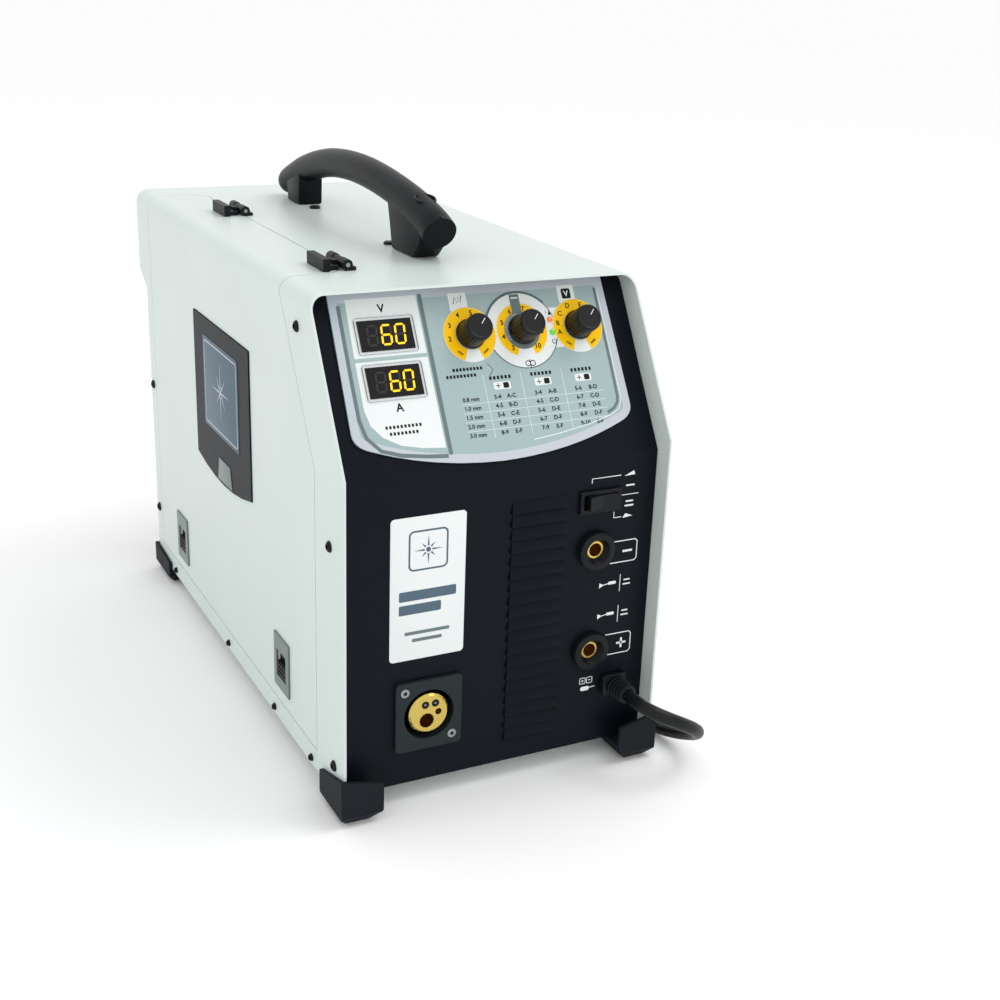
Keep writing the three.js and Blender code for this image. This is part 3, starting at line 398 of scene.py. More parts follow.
def sector(inner: float, outer: float, start: float, stop: float, low: float, high: float) -> Shape:
    """A part of a flat ring.

    Args:
        inner: inner radius.
        outer: outer radius.
        start: first clock angle in degrees.
        stop: last clock angle.
        low: height of its back.
        high: height of its face.

    Returns:
        The mesh.
    """
    bm = bmesh.new()
    ends = [bm.verts.new((*at_angle(r, start), low)) for r in (inner, outer)]
    edge = bm.edges.new(ends)
    steps = max(6, int(abs(stop - start) / 7.5))
    bmesh.ops.spin(
        bm, geom=[*ends, edge], cent=(0, 0, 0), axis=(0, 0, 1),
        angle=-math.radians(stop - start), steps=steps, use_merge=False,
    )
    return thickened(bm, high - low)


def thickened(bm: Shape, height: float) -> Shape:
    """Gives a flat sheet a height along h and turns its faces outwards."""
    raised = bmesh.ops.extrude_face_region(bm, geom=list(bm.faces), use_keep_orig=True)
    bmesh.ops.translate(
        bm, vec=(0, 0, height), verts=[v for v in raised["geom"] if isinstance(v, bmesh.types.BMVert)]
    )
    bmesh.ops.recalc_face_normals(bm, faces=bm.faces)
    return bm


def plate(outline: Sequence[Point2], low: float, high: float, edge: float = 0.0) -> Shape:
    """A flat plate of any outline.

    Args:
        outline: its corners in order.
        low: height of its back.
        high: height of its face.
        edge: radius of its edges, or 0.

    Returns:
        The mesh.
    """
    bm = bmesh.new()
    bm.faces.new([bm.verts.new((x, y, low)) for x, y in outline])
    thickened(bm, high - low)
    if edge:
        soften(bm, sharp_edges(bm), edge)
    return bm


def frame_band(outline: Sequence[Point2], inset: float, width: float, low: float, high: float) -> Shape:
    """A band that follows an outline at a distance inside it.

    Args:
        outline: the outline's corners.
        inset: distance from the outline to the band.
        width: the band's width.
        low: height of its back.
        high: height of its face.

    Returns:
        The mesh.
    """
    bm = bmesh.new()
    middle = bm.faces.new([bm.verts.new((x, y, low)) for x, y in outline])
    if inset:
        outer = bmesh.ops.inset_region(
            bm, faces=[middle], thickness=inset, use_even_offset=True, use_boundary=True
        )
        bmesh.ops.delete(bm, geom=outer["faces"], context="FACES")
    bmesh.ops.inset_region(bm, faces=[middle], thickness=width, use_even_offset=True, use_boundary=True)
    bmesh.ops.delete(bm, geom=[middle], context="FACES")
    return thickened(bm, high - low)


def moved(bm: Shape, place: Point3, spin: float = 0.0) -> Shape:
    """Turns a shape clockwise about h by degrees, then moves it."""
    turn = Matrix.Translation(place) @ Matrix.Rotation(-math.radians(spin), 4, "Z")
    bmesh.ops.transform(bm, matrix=turn, verts=bm.verts)
    return bm


def of_curve(data: Any) -> Shape:
    """The mesh of a curve or text, whose data is then removed."""
    holder = bpy.data.objects.new("curve_blank", data)
    bpy.context.scene.collection.objects.link(holder)
    bpy.context.view_layer.update()
    shape = bpy.data.meshes.new_from_object(holder.evaluated_get(bpy.context.evaluated_depsgraph_get()))
    bm = bmesh.new()
    bm.from_mesh(shape)
    bpy.data.objects.remove(holder)
    bpy.data.meshes.remove(shape)
    return bm


def pen_line(points: Sequence[Point2], width: float, height: float, closed: bool = False) -> Shape:
    """A printed line of even width.

    Args:
        points: the points it passes through.
        width: its width.
        height: the height of its face.
        closed: whether it runs back to its first point.

    Returns:
        The mesh.
    """
    data = bpy.data.curves.new("pen_line", "CURVE")
    data.dimensions = "3D"
    data.bevel_depth = width / 2
    data.bevel_resolution = 1
    data.use_fill_caps = True
    spline = data.splines.new("POLY")
    spline.points.add(len(points) - 1)
    for knot, (x, y) in zip(spline.points, points):
        knot.co = (x, y, 0, 1)
    spline.use_cyclic_u = closed
    bm = of_curve(data)
    bpy.data.curves.remove(data)
    bmesh.ops.scale(bm, vec=(1, 1, LIFT / width), verts=bm.verts)
    bmesh.ops.translate(bm, vec=(0, 0, height - LIFT / 2), verts=bm.verts)
    return bm


def lettering(text: str, size: float, centre: Point2, height: float, spin: float = 0.0) -> Shape:
    """Printed characters.

    Args:
        text: what they say.
        size: height of a capital letter.
        centre: the middle of the words.
        height: the height of their face.
        spin: clockwise turn in degrees.

    Returns:
        The mesh.
    """
    data = bpy.data.curves.new("lettering", "FONT")
    data.body = text
    data.size = size / 0.7
    data.align_x = "CENTER"
    data.align_y = "CENTER"
    data.extrude = LIFT / 2
    data.offset = size * 0.035  # a bold stroke
    data.resolution_u = 2
    bm = of_curve(data)
    bpy.data.curves.remove(data)
    return moved(bm, (*centre, height - LIFT / 2), spin)


def swept(sections: Sequence[Matrix], sides: int, size: Point2) -> Shape:
    """A closed tube through a row of sections.

    Args:
        sections: the place of each section.
        sides: corners of each section.
        size: half width and half height of the section.

    Returns:
        The mesh, with both ends closed.
    """
    bm = bmesh.new()
    start = sections[0] @ Matrix.Diagonal((size[0], size[1], 1, 1))
    bmesh.ops.create_circle(bm, cap_ends=True, segments=sides, radius=1, matrix=start)
    edges = list(bm.edges)
    for before, after in zip(sections, sections[1:]):
        grown = bmesh.ops.extrude_edge_only(bm, edges=edges)["geom"]
        verts = [g for g in grown if isinstance(g, bmesh.types.BMVert)]
        edges = [g for g in grown if isinstance(g, bmesh.types.BMEdge)]
        bmesh.ops.transform(bm, matrix=after @ before.inverted(), verts=verts)
    bmesh.ops.holes_fill(bm, edges=edges, sides=0)
    bmesh.ops.recalc_face_normals(bm, faces=bm.faces)
    return bm


class Piece:
    """One visible piece while it is being made, in millimetres on a surface's axes."""

    def __init__(self, name: str, surface: Surface, finish: Finish) -> None:
        """Starts an empty piece with its name, the surface it is on and its finish."""
        self.name = name
        self.surface = surface
        self.finish = finish
        self.bm = bmesh.new()

    def add(self, *parts: Shape) -> Piece:
        """Adds shapes to the piece and returns it."""
        for part in parts:
            shape = bpy.data.meshes.new("part")
            part.to_mesh(shape)
            part.free()
            self.bm.from_mesh(shape)
            bpy.data.meshes.remove(shape)
        return self

    def fit(self, body: str, slot: str, replaces: Sequence[str] = (), soft: float = 32) -> bpy.types.Object:
        """Puts the finished piece on the machine.

        Args:
            body: the moving body that it rides on.
            slot: the record's material slot; not used.
            replaces: CAD nodes that it stands for.
            soft: faces that meet at less than this angle in degrees are shaded as one.

        Returns:
            The object.
        """
        shape = bpy.data.meshes.new(self.name)
        self.bm.to_mesh(shape)
        self.bm.free()
        shape.transform(self.surface.matrix())
        shape.shade_smooth()
        shape.set_sharp_from_angle(angle=math.radians(soft))
        made = bpy.data.objects.new(self.name, shape)
        bpy.context.scene.collection.objects.link(made)
        made.data.materials.append(self.finish.material())
        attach(made, body)
        if replaces:
            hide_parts(*replaces)
        LOG.info("%s rides on %s with %d faces", self.name, body, len(shape.polygons))
        return made


def printed(name: str, surface: Surface, finish: Finish, *shapes: Shape, body: str = "case") -> None:
    """Makes one printed or inlaid piece."""
    Piece(name, surface, finish).add(*shapes).fit(body, "panel_foil")


def tag(centre: Point2, size: Point2, radius: float, low: float, high: float, steps: int = 5) -> Shape:
    """A small plate with rounded corners between two heights."""
    return plate(rounded(centre, size, radius, steps), low, high)


def dress(frame: dict[str, Any], finish: Finish, *nodes: str) -> None:
    """Gives CAD nodes a finish."""
    for name in nodes:
        slots = frame["nodes"][name].data.materials
        slots.clear()
        slots.append(finish.material())
        LOG.info("%s is %s", name, finish.name)


# ---------------------------------------------------------------- view and cord


@dataclass
class Studio:
    """Camera, lights and floor."""

    eye: Point3 = (-0.3852, -0.9496, 0.5033)
    heading: float = -27.46
    dip: float = 20.36
    roll: float = 2.14
    lens: float = 52.2
    floor_side: float = 80.0

    def build(self) -> None:
        """Makes the camera, the lights and the floor."""
        self.camera()
        self.lights()
        self.floor()
        bpy.context.scene.view_settings.view_transform = "Standard"

    def camera(self) -> None:
        """Makes the camera at the eye, looking along its heading and down by its dip."""
        data = bpy.data.cameras.new("camera")
        data.lens = self.lens
        data.sensor_width = 36
        yaw, dip, roll = (math.radians(a) for a in (self.heading, self.dip, self.roll))
        ahead = Vector((-math.sin(yaw) * math.cos(dip), math.cos(yaw) * math.cos(dip), -math.sin(dip)))
        right = Vector((math.cos(yaw), math.sin(yaw), 0))
        up = right.cross(ahead)
        across = right * math.cos(roll) + up * math.sin(roll)
        above = up * math.cos(roll) - right * math.sin(roll)
        camera = bpy.data.objects.new("camera", data)
        bpy.context.scene.collection.objects.link(camera)
        turn = Matrix((across, above, -ahead)).transposed().to_4x4()
        camera.matrix_world = Matrix.Translation(self.eye) @ turn
        bpy.context.scene.camera = camera

    def lights(self) -> None:
        """Makes a bright room, a soft key from the right and a weak fill."""
        world = bpy.data.worlds.new("studio")
        world.use_nodes = True
        background = world.node_tree.nodes["Background"]
        background.inputs["Color"].default_value = (1.0, 1.0, 1.0, 1.0)
        background.inputs["Strength"].default_value = 1.0
        bpy.context.scene.world = world
        self.lamp("key_light", (1.3, -0.5, 2.3), 1.2, 16)
        self.lamp("front_fill", (-0.6, -2.4, 1.0), 1.6, 3)

    def lamp(self, name: str, place: Point3, side: float, power: float) -> None:
        """Makes a square soft light that faces the machine."""
        data = bpy.data.lights.new(name, "AREA")
        data.size = side
        data.energy = power
        light = bpy.data.objects.new(name, data)
        light.location = place
        towards = Vector((0, 0, 0.15)) - Vector(place)
        light.rotation_euler = towards.to_track_quat("-Z", "Y").to_euler()
        bpy.context.scene.collection.objects.link(light)

    def floor(self) -> None:
        """Makes the plain pale floor."""
        bm = bmesh.new()
        bmesh.ops.create_grid(bm, x_segments=1, y_segments=1, size=self.floor_side / 2)
        shape = bpy.data.meshes.new("studio_floor")
        bm.to_mesh(shape)
        bm.free()
        floor = bpy.data.objects.new("studio_floor", shape)
        bpy.context.scene.collection.objects.link(floor)
        paper = Finish("matt_white_paper_floor", "FDFDFD", "FCFCFC", 0.9, 0.02, 3.0, 0.0, gloss=0.1)
        shape.materials.append(paper.material())


@dataclass
class PolarityLead:
    """The short lead that picks the torch's polarity, with its grommet and its plug."""

    radius: float = 4.5
    length: float = 0.408
    floor: float = -13.0
    route: list[Point3] = field(
        default_factory=lambda: [
            (86, -8.3, 41), (86, -16, 41), (87.7, -24.4, 40.3), (92.4, -31.6, 38.4), (99.6, -36.3, 35.2),
            (109, -38, 30.4), (119.3, -36, 23.9), (127.8, -30, 16.4), (133, -20.5, 9), (134.8, -8.5, 2.3),
            (133.6, 5, -3.1), (131, 20, -6.7), (128.8, 37, -8.3), (127.4, 60, -8.3), (127, 90, -8.3),
            (128, 125, -8.3), (129.4, 160, -8.3), (130, 195, -8.3), (129.6, 225, -8.0), (129, 250, -6.5),
            (129, 272, -4.2), (129, 288, -2.7), (129, 300, -2.3),
        ]
    )

    def build(self) -> None:
        """Makes the grommet, the plug and the lead."""
        plug = self.plug()
        self.grommet()
        self.lead(plug)

    def lead(self, plug: list[bpy.types.Object]) -> None:
        """Makes the lead as one open curve along its route."""
        data = bpy.data.curves.new("polarity_lead_sheath", "CURVE")
        data.dimensions = "3D"
        data.bevel_depth = self.radius * MM
        data.bevel_resolution = 5
        data.use_fill_caps = True
        line = smooth_path(self.route, 5)
        place = CASE.matrix()
        spline = data.splines.new("POLY")
        spline.points.add(len(line) - 1)
        for knot, point in zip(spline.points, line):
            knot.co = (*(place @ point), 1)
        lead = bpy.data.objects.new("polarity_lead_sheath", data)
        bpy.context.scene.collection.objects.link(lead)
        data.materials.append(SHEATH_RUBBER.material())
        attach(lead, "case")
        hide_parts("polarity_lead")

    def plug(self) -> list[bpy.types.Object]:
        """Makes the twist-lock plug at the lead's far end, along the machine.

        Returns:
            Its two pieces.
        """
        x, y, z = self.route[-1]
        end = Surface((x, y, z), (1, 0, 0), (0, 0, 1))
        body = Piece("polarity_plug_body", end, SHEATH_RUBBER)
        body.add(turned([
            (0, -0.3), (5.6, -0.3), (6, -0.8), (7.5, -14), (8.4, -15.4), (10.1, -16), (10.5, -16.8),
            (10.5, -24),
            (9.9, -24.6), (9.9, -26), (10.5, -26.6), (10.5, -30), (9.9, -30.6), (9.9, -32), (10.5, -32.6),
            (10.5, -36), (9.9, -36.6), (9.9, -38), (10.5, -38.6), (10.5, -45.2), (9.6, -48), (0, -48),
        ], 36))
        pin = Piece("polarity_plug_pin", end, TURNED_BRASS)
        pin.add(turned([
            (0, -47.6), (4.3, -47.6), (4.3, -55), (3.9, -55.6), (3.9, -56.6), (4.3, -57.2), (4.3, -64),
            (3.4, -66), (0, -66),
        ], 28))
        return [
            body.fit("case", "cable_rubber", ["polarity_plug"]),
            pin.fit("case", "brass"),
        ]

    def grommet(self) -> None:
        """Makes the ribbed strain relief where the lead leaves the panel."""
        boss = (86.0, 41.0)
        relief = Piece("lead_strain_relief", PANEL, BLACK_NYLON)
        relief.add(plate(rounded((85, 42), (18, 15), 2.2), 0.3, 5, 0.8))
        ribs = [(0, 4.6), (7.4, 4.6)]
        for k in range(5):
            h, r = 5.6 + 3 * k, 7.3 - 0.22 * k
            ribs += [(r, h), (r, h + 1.5), (r - 0.9, h + 1.9), (r - 0.9, h + 2.7)]
        ribs += [(5.7, 20.4), (5.0, 21), (0, 21)]
        relief.add(moved(turned(ribs, 32), (*boss, 0)))
        relief.add(block((12, 10, 14), (85, 42, -6), 0.6))
        relief.fit("case", "moulded_black", ["lead_grommet"])


# ---------------------------------------------------------------- case


@dataclass
class Housing:
    """Sheet-metal case, its screws and its feet."""

    screw_radius: float = 3.6
    low_screw_radius: float = 2.6
    low_row: float = 8.0  # screws under this height are the small ones
    left_front: tuple[Point2, ...] = ((76, 285), (23, 165), (17, 21))
    left_low: tuple[Point2, ...] = ((58, 5), (132, 5), (239, 5), (388, 5))
    left_rear: tuple[Point2, ...] = ((436, 153), (436, 45))
    right_extra: tuple[Point2, ...] = ((90, 250), (250, 285), (400, 285))
    rear: tuple[Point2, ...] = ((-98, 20), (98, 20), (-98, 230), (98, 230), (-60, 296), (60, 296))

    def build(self, frame: dict[str, Any]) -> None:
        """Dresses the sheet metal and adds its screws."""
        dress(frame, POWDER_COAT, "outer_shell", "side_door", "base_tray")
        dress(frame, MOULDED_ABS, "front_panel", "rear_panel")
        dress(frame, ZINC_PLATE, "divider_plate")
        dress(frame, FOOT_RUBBER, "foot_front_left", "foot_front_right", "foot_rear_left", "foot_rear_right")
        self.screws()

    def screws(self) -> None:
        """Makes the black domed screws on the left, the right and the back."""
        both = (*self.left_front, *self.left_rear, *self.left_low)
        for side, surface, places in (
            ("left", LEFT, [(-y, z) for y, z in both]),
            ("right", RIGHT, (*both, *self.right_extra)),
            ("rear", BACK, self.rear),
        ):
            piece = Piece(f"case_screws_{side}", surface, BLACK_NYLON)
            for place in places:
                self.screw(piece, place)
            piece.fit("case", "black_nylon")

    def screw(self, piece: Piece, centre: Point2) -> None:
        """Adds one domed screw with a round recess to a piece."""
        r = self.screw_radius if centre[1] > self.low_row else self.low_screw_radius
        head = turned([
            (1.5, 0.5), (1.5, 1.9), (1.8, 2.1), (0.55 * r, 2.0), (0.85 * r, 1.4), (r, 0.5), (r, 0.02),
            (0, 0.02), (0, 0.5), (1.5, 0.5),
        ], 20)
        piece.add(moved(head, (*centre, 0)))


@dataclass
class FrontPanel:
    """The upright front: louvres, labels, printed lines, switch and sockets."""

    louvre_x: Point2 = (5.5, 43.0)
    louvre_low: float = 14.0
    louvre_high: float = 180.0
    louvres: int = 19
    proud: float = 2.2
    label_centre: Point2 = (-50.9, 133.3)
    label_size: Point2 = (49.8, 94.1)
    sockets: tuple[Point2, Point2] = ((66.0, 140.0), (66.0, 69.0))
    flange_screws: tuple[Point2, Point2] = ((-66, 65), (-33.5, 30.5))
    torch_contacts: tuple[Point2, Point2] = ((-50 - 2.6, 48.5 + 6.4), (-50 + 4.2, 48.5 + 6.6))
    torch_bore: Point2 = (-51.6, 44)

    def build(self, frame: dict[str, Any]) -> None:
        """Makes everything on the upright front."""
        self.slats()
        self.label()
        self.print_work()
        self.socket_pair(frame)
        dress(frame, BLACK_NYLON, "mode_switch_frame", "mode_rocker")
        self.torch_socket(frame)

    def slats(self) -> None:
        """Makes the louvres: each slat leans out over the slot under it."""
        pitch = (self.louvre_high - self.louvre_low) / self.louvres
        low, high = self.louvre_x
        piece = Piece("louvre_slats", PANEL, MOULDED_ABS)
        for k in range(self.louvres):
            bm = bmesh.new()
            bmesh.ops.create_cube(bm, size=1)
            bmesh.ops.scale(bm, vec=(high - low + 2.4, pitch - 0.9, self.proud), verts=bm.verts)
            upper = [v for v in bm.verts if v.co.y > 0 and v.co.z > 0]
            bmesh.ops.translate(bm, vec=(0, 0, 0.25 - self.proud), verts=upper)
            bmesh.ops.scale(bm, vec=(0.93, 1, 1), verts=[v for v in bm.verts if v.co.y > 0])
            soften(bm, bm.edges, 0.3, 2)
            middle = self.louvre_low + (k + 0.15) * pitch + pitch / 2 - 0.2
            bmesh.ops.translate(bm, vec=((low + high) / 2, middle, self.proud / 2 + 0.02), verts=bm.verts)
            piece.add(bm)
        piece.fit("case", "moulded_black")

    def label(self) -> None:
        """Makes the white label with a plain spark sign and text bars."""
        (cx, cy), face = self.label_centre, 0.42
        label = plate(rounded((cx, cy), self.label_size, 2.6), 0.02, 0.35, 0.12)
        printed("front_label", PANEL, WHITE_INK, label)
        printed(
            "front_label_print", PANEL, BLUE_GREY_INK,
            pen_line(rounded((cx, cy + 25), (25, 25), 3), 1.2, face, True),
            *spark((cx, cy + 25), 9.5, face),
            tag((cx, cy - 4), (38, 6.5), 1, 0.3, face),
            tag((cx - 5, cy - 13), (28, 6.5), 1, 0.3, face),
        )
        lines = ((30, 29), (20, 34))
        bars = [tag((cx, cy - down), (width, 2.2), 0.6, 0.3, face) for width, down in lines]
        printed("front_label_text_bars", PANEL, GREY_INK, *bars)

    def print_work(self) -> None:
        """Prints the lines and signs beside the switch, the sockets and the lead."""
        low, face = 0.01, 0.08
        marks = Piece("front_panel_print", PANEL, WHITE_INK)

        def line(points: Sequence[Point2], width: float, closed: bool = False) -> None:
            """Adds a printed line."""
            marks.add(pen_line(points, width, face, closed))

        def bar(centre: Point2, size: Point2, radius: float) -> None:
            """Adds a rounded bar."""
            marks.add(tag(centre, size, radius, low, face))

        def patch(outline: Sequence[Point2]) -> None:
            """Adds a flat shape of any outline."""
            marks.add(plate(outline, low, face))

        line([(61, 185.5), (61, 188.5), (82, 188.5)], 0.6)
        line([(78.5, 164), (78.5, 160), (84, 160)], 0.6)
        line([(83, 174.8), (96, 174.8)], 0.5)
        patch([(84.5, 187.6), (92.5, 187.9), (91.5, 190.6)])
        patch([(85, 159), (92.5, 159.8), (87, 162)])
        for y, plus in ((135.7, False), (69.8, True)):
            line([(78, y + 7.4), (96, y + 7.4), (97.6, y + 5.8), (97.6, y - 5.8), (96, y - 7.4),
                  (78, y - 7.4)],
                 0.75)
            bar((90.5, y), (7.2, 1.5), 0.2)
            if plus:
                bar((90.5, y), (1.5, 7.2), 0.2)
        for y in (113.5, 91.5):
            line([(86.5, y - 6), (86.5, y + 6)], 0.5)
            bar((80.5, y + 1), (6.0, 2.1), 1.0)
            line([(77.5, y + 0.8), (73.5, y + 0.2)], 0.6)
            patch([(73.4, y - 0.3), (73.4, y + 0.8), (71, y + 2), (71, y - 1.6)])
            bar((91.5, y + 1.7), (4.6, 1.0), 0.3)
            bar((91.5, y - 1.3), (5.6, 1.0), 0.3)
        for y, width in ((181, 6.4), (170.2, 5.6), (167.2, 6.6)):
            bar((89.4, y), (width, 1.1), 0.3)
        for x, plus in ((62.6, True), (67.8, False)):
            line(rounded((x, 46.5), (4.2, 4.2), 0.6, 2), 0.45, True)
            bar((x, 46.5), (1.9, 0.5), 0.1)
            if plus:
                bar((x, 46.5), (0.5, 1.9), 0.1)
        bar((64.6, 40.6), (6.6, 3), 1.4)
        line([(68, 40.8), (72, 41.2)], 0.6)
        marks.fit("case", "panel_foil")

    def socket_pair(self, frame: dict[str, Any]) -> None:
        """Makes the two cable sockets: a stepped black body round a brass sleeve."""
        for name, (x, z) in zip(("minus", "plus"), self.sockets):
            body = Piece(f"socket_body_{name}", PANEL, BLACK_NYLON)
            shape = turned([
                (8.6, 5.0), (11.6, 5.0), (12.6, 4.4), (13, 3.4), (13, 0.3), (10.6, 0.3), (10.6, -23),
                (6.1, -23),
                (6.1, 1), (6.4, 1.4), (8.6, 5.0),
            ], 48)
            body.add(moved(shape, (x, z, 0)))
            body.fit("case", "black_nylon", [f"socket_{name}"])
            # A dark red-brown disc 10 mm down each bore is painted shade for the inside of the brass sleeve.
            bore_shade = Piece(f"socket_bore_shade_{name}", PANEL, BORE_SHADE)
            bore_shade.add(moved(turned([(0, -10), (4.4, -10), (4.4, -9.7), (0, -9.7)], 24), (x, z, 0)))
            bore_shade.fit("case", "brass")
        dress(frame, TURNED_BRASS, "socket_insert_minus", "socket_insert_plus")

    def torch_socket(self, frame: dict[str, Any]) -> None:
        """Dresses the torch connection and adds its screws and contact pins."""
        flange = Finish("grey_black_nylon_flange", "202A2D", "1C2528", 0.5, 0.08, 1.0, 0.03, gloss=0.2)
        dress(frame, flange, "torch_flange")
        dress(frame, TURNED_BRASS, "torch_connector")
        screws = Piece("torch_flange_screws", PANEL, ZINC_PLATE)
        head = [(0, 1.6), (1.3, 1.6), (1.3, 3.3), (2.2, 3.5), (2.9, 3.1), (3.1, 2.6), (0, 2.6), (0, 1.6)]
        for x, z in self.flange_screws:
            screws.add(moved(turned(head, 24), (x, z, 0)))
        screws.fit("case", "zinc_steel")
        pins = Piece("torch_contact_pins", PANEL, BLACK_NYLON)
        contacts = Piece("torch_contact_tips", PANEL, ZINC_PLATE)
        tip = [(0, -6), (0.9, -6), (0.9, 3.8), (0.5, 4.2), (0, 4.2)]
        for x, z in self.torch_contacts:
            pins.add(moved(ring(1.1, 2.5, -6, 4.2, 24), (x, z, 0)))
            contacts.add(moved(turned(tip, 16), (x, z, 0)))
        pins.fit("case", "black_nylon")
        contacts.fit("case", "zinc_steel")
        # A dark red-brown disc 11.5 mm down the centre bore is painted shade for the inside of the connector.
        bores = Piece("torch_bore_shade", PANEL, BORE_SHADE)
        bore_shade = turned([(0, -12), (4.95, -12), (4.95, -11.5), (0, -11.5)], 24)
        bores.add(moved(bore_shade, (*self.torch_bore, 0)))
        bores.fit("case", "brass")


def spark(centre: Point2, radius: float, height: float) -> list[Shape]:
    """A plain spark sign: rays round a small ball."""
    rays = []
    for k in range(8):
        reach = radius if k % 2 == 0 else radius * 0.68
        tip, left, right = (at_angle(r, 45 * k + d, centre) for r, d in ((reach, 0), (2.6, -14), (2.6, 14)))
        rays.append(plate([tip, left, right], height - 0.12, height))
    rays.append(moved(turned([(0, height - 0.12), (1.6, height - 0.12), (1.6, height), (0, height)], 20),
                      (*centre, 0)))
    return rays


# ---------------------------------------------------------------- slanted panel


@dataclass(frozen=True)
class Dial:
    """One dial: where its knob is and what stands round it."""

    name: str
    x: float
    legends: tuple[tuple[str, float], ...]


@dataclass
class ControlFascia:
    """The slanted control panel with displays, lamps and dials."""

    dial_height: float = 84.0
    dials: tuple[Dial, ...] = (
        Dial("left", -6.5, (("min", -142), ("2", -98), ("3", -62), ("4", -24), ("5", 14), ("6", 52),
                            ("7", 92), ("max", 142))),
        Dial("centre", 29.5, (("3", -142), ("4", -104), ("5", -66), ("6", -26), ("7", 14), ("8", 54),
                              ("9", 98), ("10", 142))),
        Dial("right", 69.0, (("min", -142), ("A", -104), ("B", -80), ("C", -52), ("D", -18), ("E", 20),
                             ("F", 58), ("max", 142))),
    )
    ring_radius: float = 17.2
    knob_turn: float = 40.0  # where the pointers stand at rest, clockwise from up
    windows: tuple[Point2, Point2] = ((-60.8, 88.2), (-61.2, 59.5))
    window_size: Point2 = (34.5, 19.0)
    columns: tuple[float, ...] = (-14.5, 3.5, 13.0, 31.5, 41.5, 60.0, 70.5)
    table: tuple[str, ...] = (
        "0.8_mm 3-4 A-C 3-4 A-B 5-6 B-D",
        "1.0_mm 4-5 B-D 4-5 C-D 6-7 C-D",
        "1.5_mm 5-6 C-E 5-6 D-E 7-8 D-E",
        "2.0_mm 6-8 D-F 6-7 D-F 8-9 D-F",
        "3.0_mm 8-9 E-F 7-9 E-F 9-10 E-F",
    )

    def build(self, frame: dict[str, Any]) -> None:
        """Makes everything on the slanted panel."""
        dress(frame, POLYCARBONATE_FOIL, "control_plate")
        dress(frame, SMOKED_ACRYLIC, "display_volts", "display_amps")
        self.rim()
        self.display_panel()
        self.digits()
        self.dial_print()
        self.guide_table()
        self.lamps()
        for dial in self.dials:
            self.knob(dial)

    @staticmethod
    def outline() -> list[Point2]:
        """The control plate's outline, a straight top and sides over a sagging lower edge."""
        top, half, low, sag, radius = 115.0, 93.0, 21.5, 4.0, 9.0

        def curve(a: Point2, b: Point2, c: Point2, steps: int) -> list[Point2]:
            """A quadratic curve's points after its first."""
            line = []
            for i in range(1, steps + 1):
                t = i / steps
                weights = ((1 - t) ** 2, 2 * t * (1 - t), t * t)
                line.append(tuple(sum(w * p for w, p in zip(weights, axis)) for axis in zip(a, b, c)))
            return line

        start = (-half - 1.5, low + radius)
        corner = (-half + radius, low - 2.5)
        left = [(-half, top), start, *curve(start, (-half - 1.5, low + 1), corner, 6)]
        left += curve(corner, (-46, sag + 0.5), (0, sag), 10)
        return left + [(-x, y) for x, y in reversed(left[:-1])]

    def rim(self) -> None:
        """Prints the pale rim and the grey groove lines inside the plate's edge."""
        face = PLATE_FACE
        printed("control_plate_rim", SLOPE, FOIL_RIM,
                frame_band(self.outline(), 0.5, 5.4, face + 0.01, face + LIFT))
        right = [(86.5, 108), (86.8, 60), (86.5, 36), (85.5, 32), (82.5, 28.6), (77, 26)]
        left = [(-87.4, 108), (-88, 60), (-88, 38), (-85.5, 27), (-78, 18.6), (-66, 14.6), (-50, 12.2),
                (-36.5, 11)]
        middle = [(-34.6, 112), (-34.6, 60), (-34.6, 11.6)]
        grooves = ((right, 1.9), (left, 2.4), (middle, 2.6))
        lines = [pen_line(line, width, face + 2 * LIFT) for line, width in grooves]
        printed("control_plate_grooves", SLOPE, GREY_INK, *lines)
        shine = [(88.3, 106), (88.6, 34), (86, 28), (80, 24.6), (62, 20), (40, 16.5), (22, 14.6)]
        printed("control_plate_highlights", SLOPE, WHITE_INK, pen_line(shine, 0.6, face + 2 * LIFT))

    def display_panel(self) -> None:
        """Prints the white field behind the displays, its groove and the display frames."""
        face = PLATE_FACE + 0.01
        field_shape = [(-37, 111.5), (-82.5, 111.5), (-83.4, 76), (-83.8, 44), (-81.5, 34), (-75.5, 26.5),
                       (-65, 20.5), (-52, 17.6), (-37, 16.2)]
        printed("display_field", SLOPE, WHITE_INK, plate(field_shape, face, face + LIFT))
        groove = pen_line([(-83.6, 73.9), (-37, 73.9)], 2.4, face + 2.2 * LIFT)
        printed("display_field_groove", SLOPE, POLYCARBONATE_FOIL, groove)
        outer = tuple(side + 3.4 for side in self.window_size)
        printed("display_frames", SLOPE, FOIL_RIM, *(
            frame_band(rounded(centre, outer, 1.2, 3), 0, 1.4, face, face + 0.9) for centre in self.windows
        ))
        top = face + 2.4 * LIFT
        signs = [lettering("V", 4.9, (-60.8, 104.6), top), lettering("A", 4.9, (-61.2, 43.2), top)]
        for k, width in enumerate((24, 20)):
            for j in range(int(width / 2.4)):
                place = (-60 - width / 2 + 2.4 * j, 32 - 4 * k)
                signs.append(tag(place, (1.4, 1.9), 0.2, face + LIFT, top, 1))
        printed("display_letters", SLOPE, DARK_INK, *signs)

    def digits(self) -> None:
        """Makes seven-segment digits: one dark figure and a lit 60 in each window."""
        lit = Piece("display_digits_lit", SLOPE, LIT_SEGMENT)
        unlit = Piece("display_digits_unlit", SLOPE, UNLIT_SEGMENT)
        for cx, cs in self.windows:
            for place, figure in zip((-8.8, 0.2, 9.0), (" ", "6", "0")):
                on = {"6": "acdefg", "0": "abcdef", " ": ""}[figure]
                for segment in "abcdefg":
                    target = lit if segment in on else unlit
                    target.add(self.segment(segment, (cx + place, cs)))
        lit.fit("case", "display_lens")
        unlit.fit("case", "display_lens")

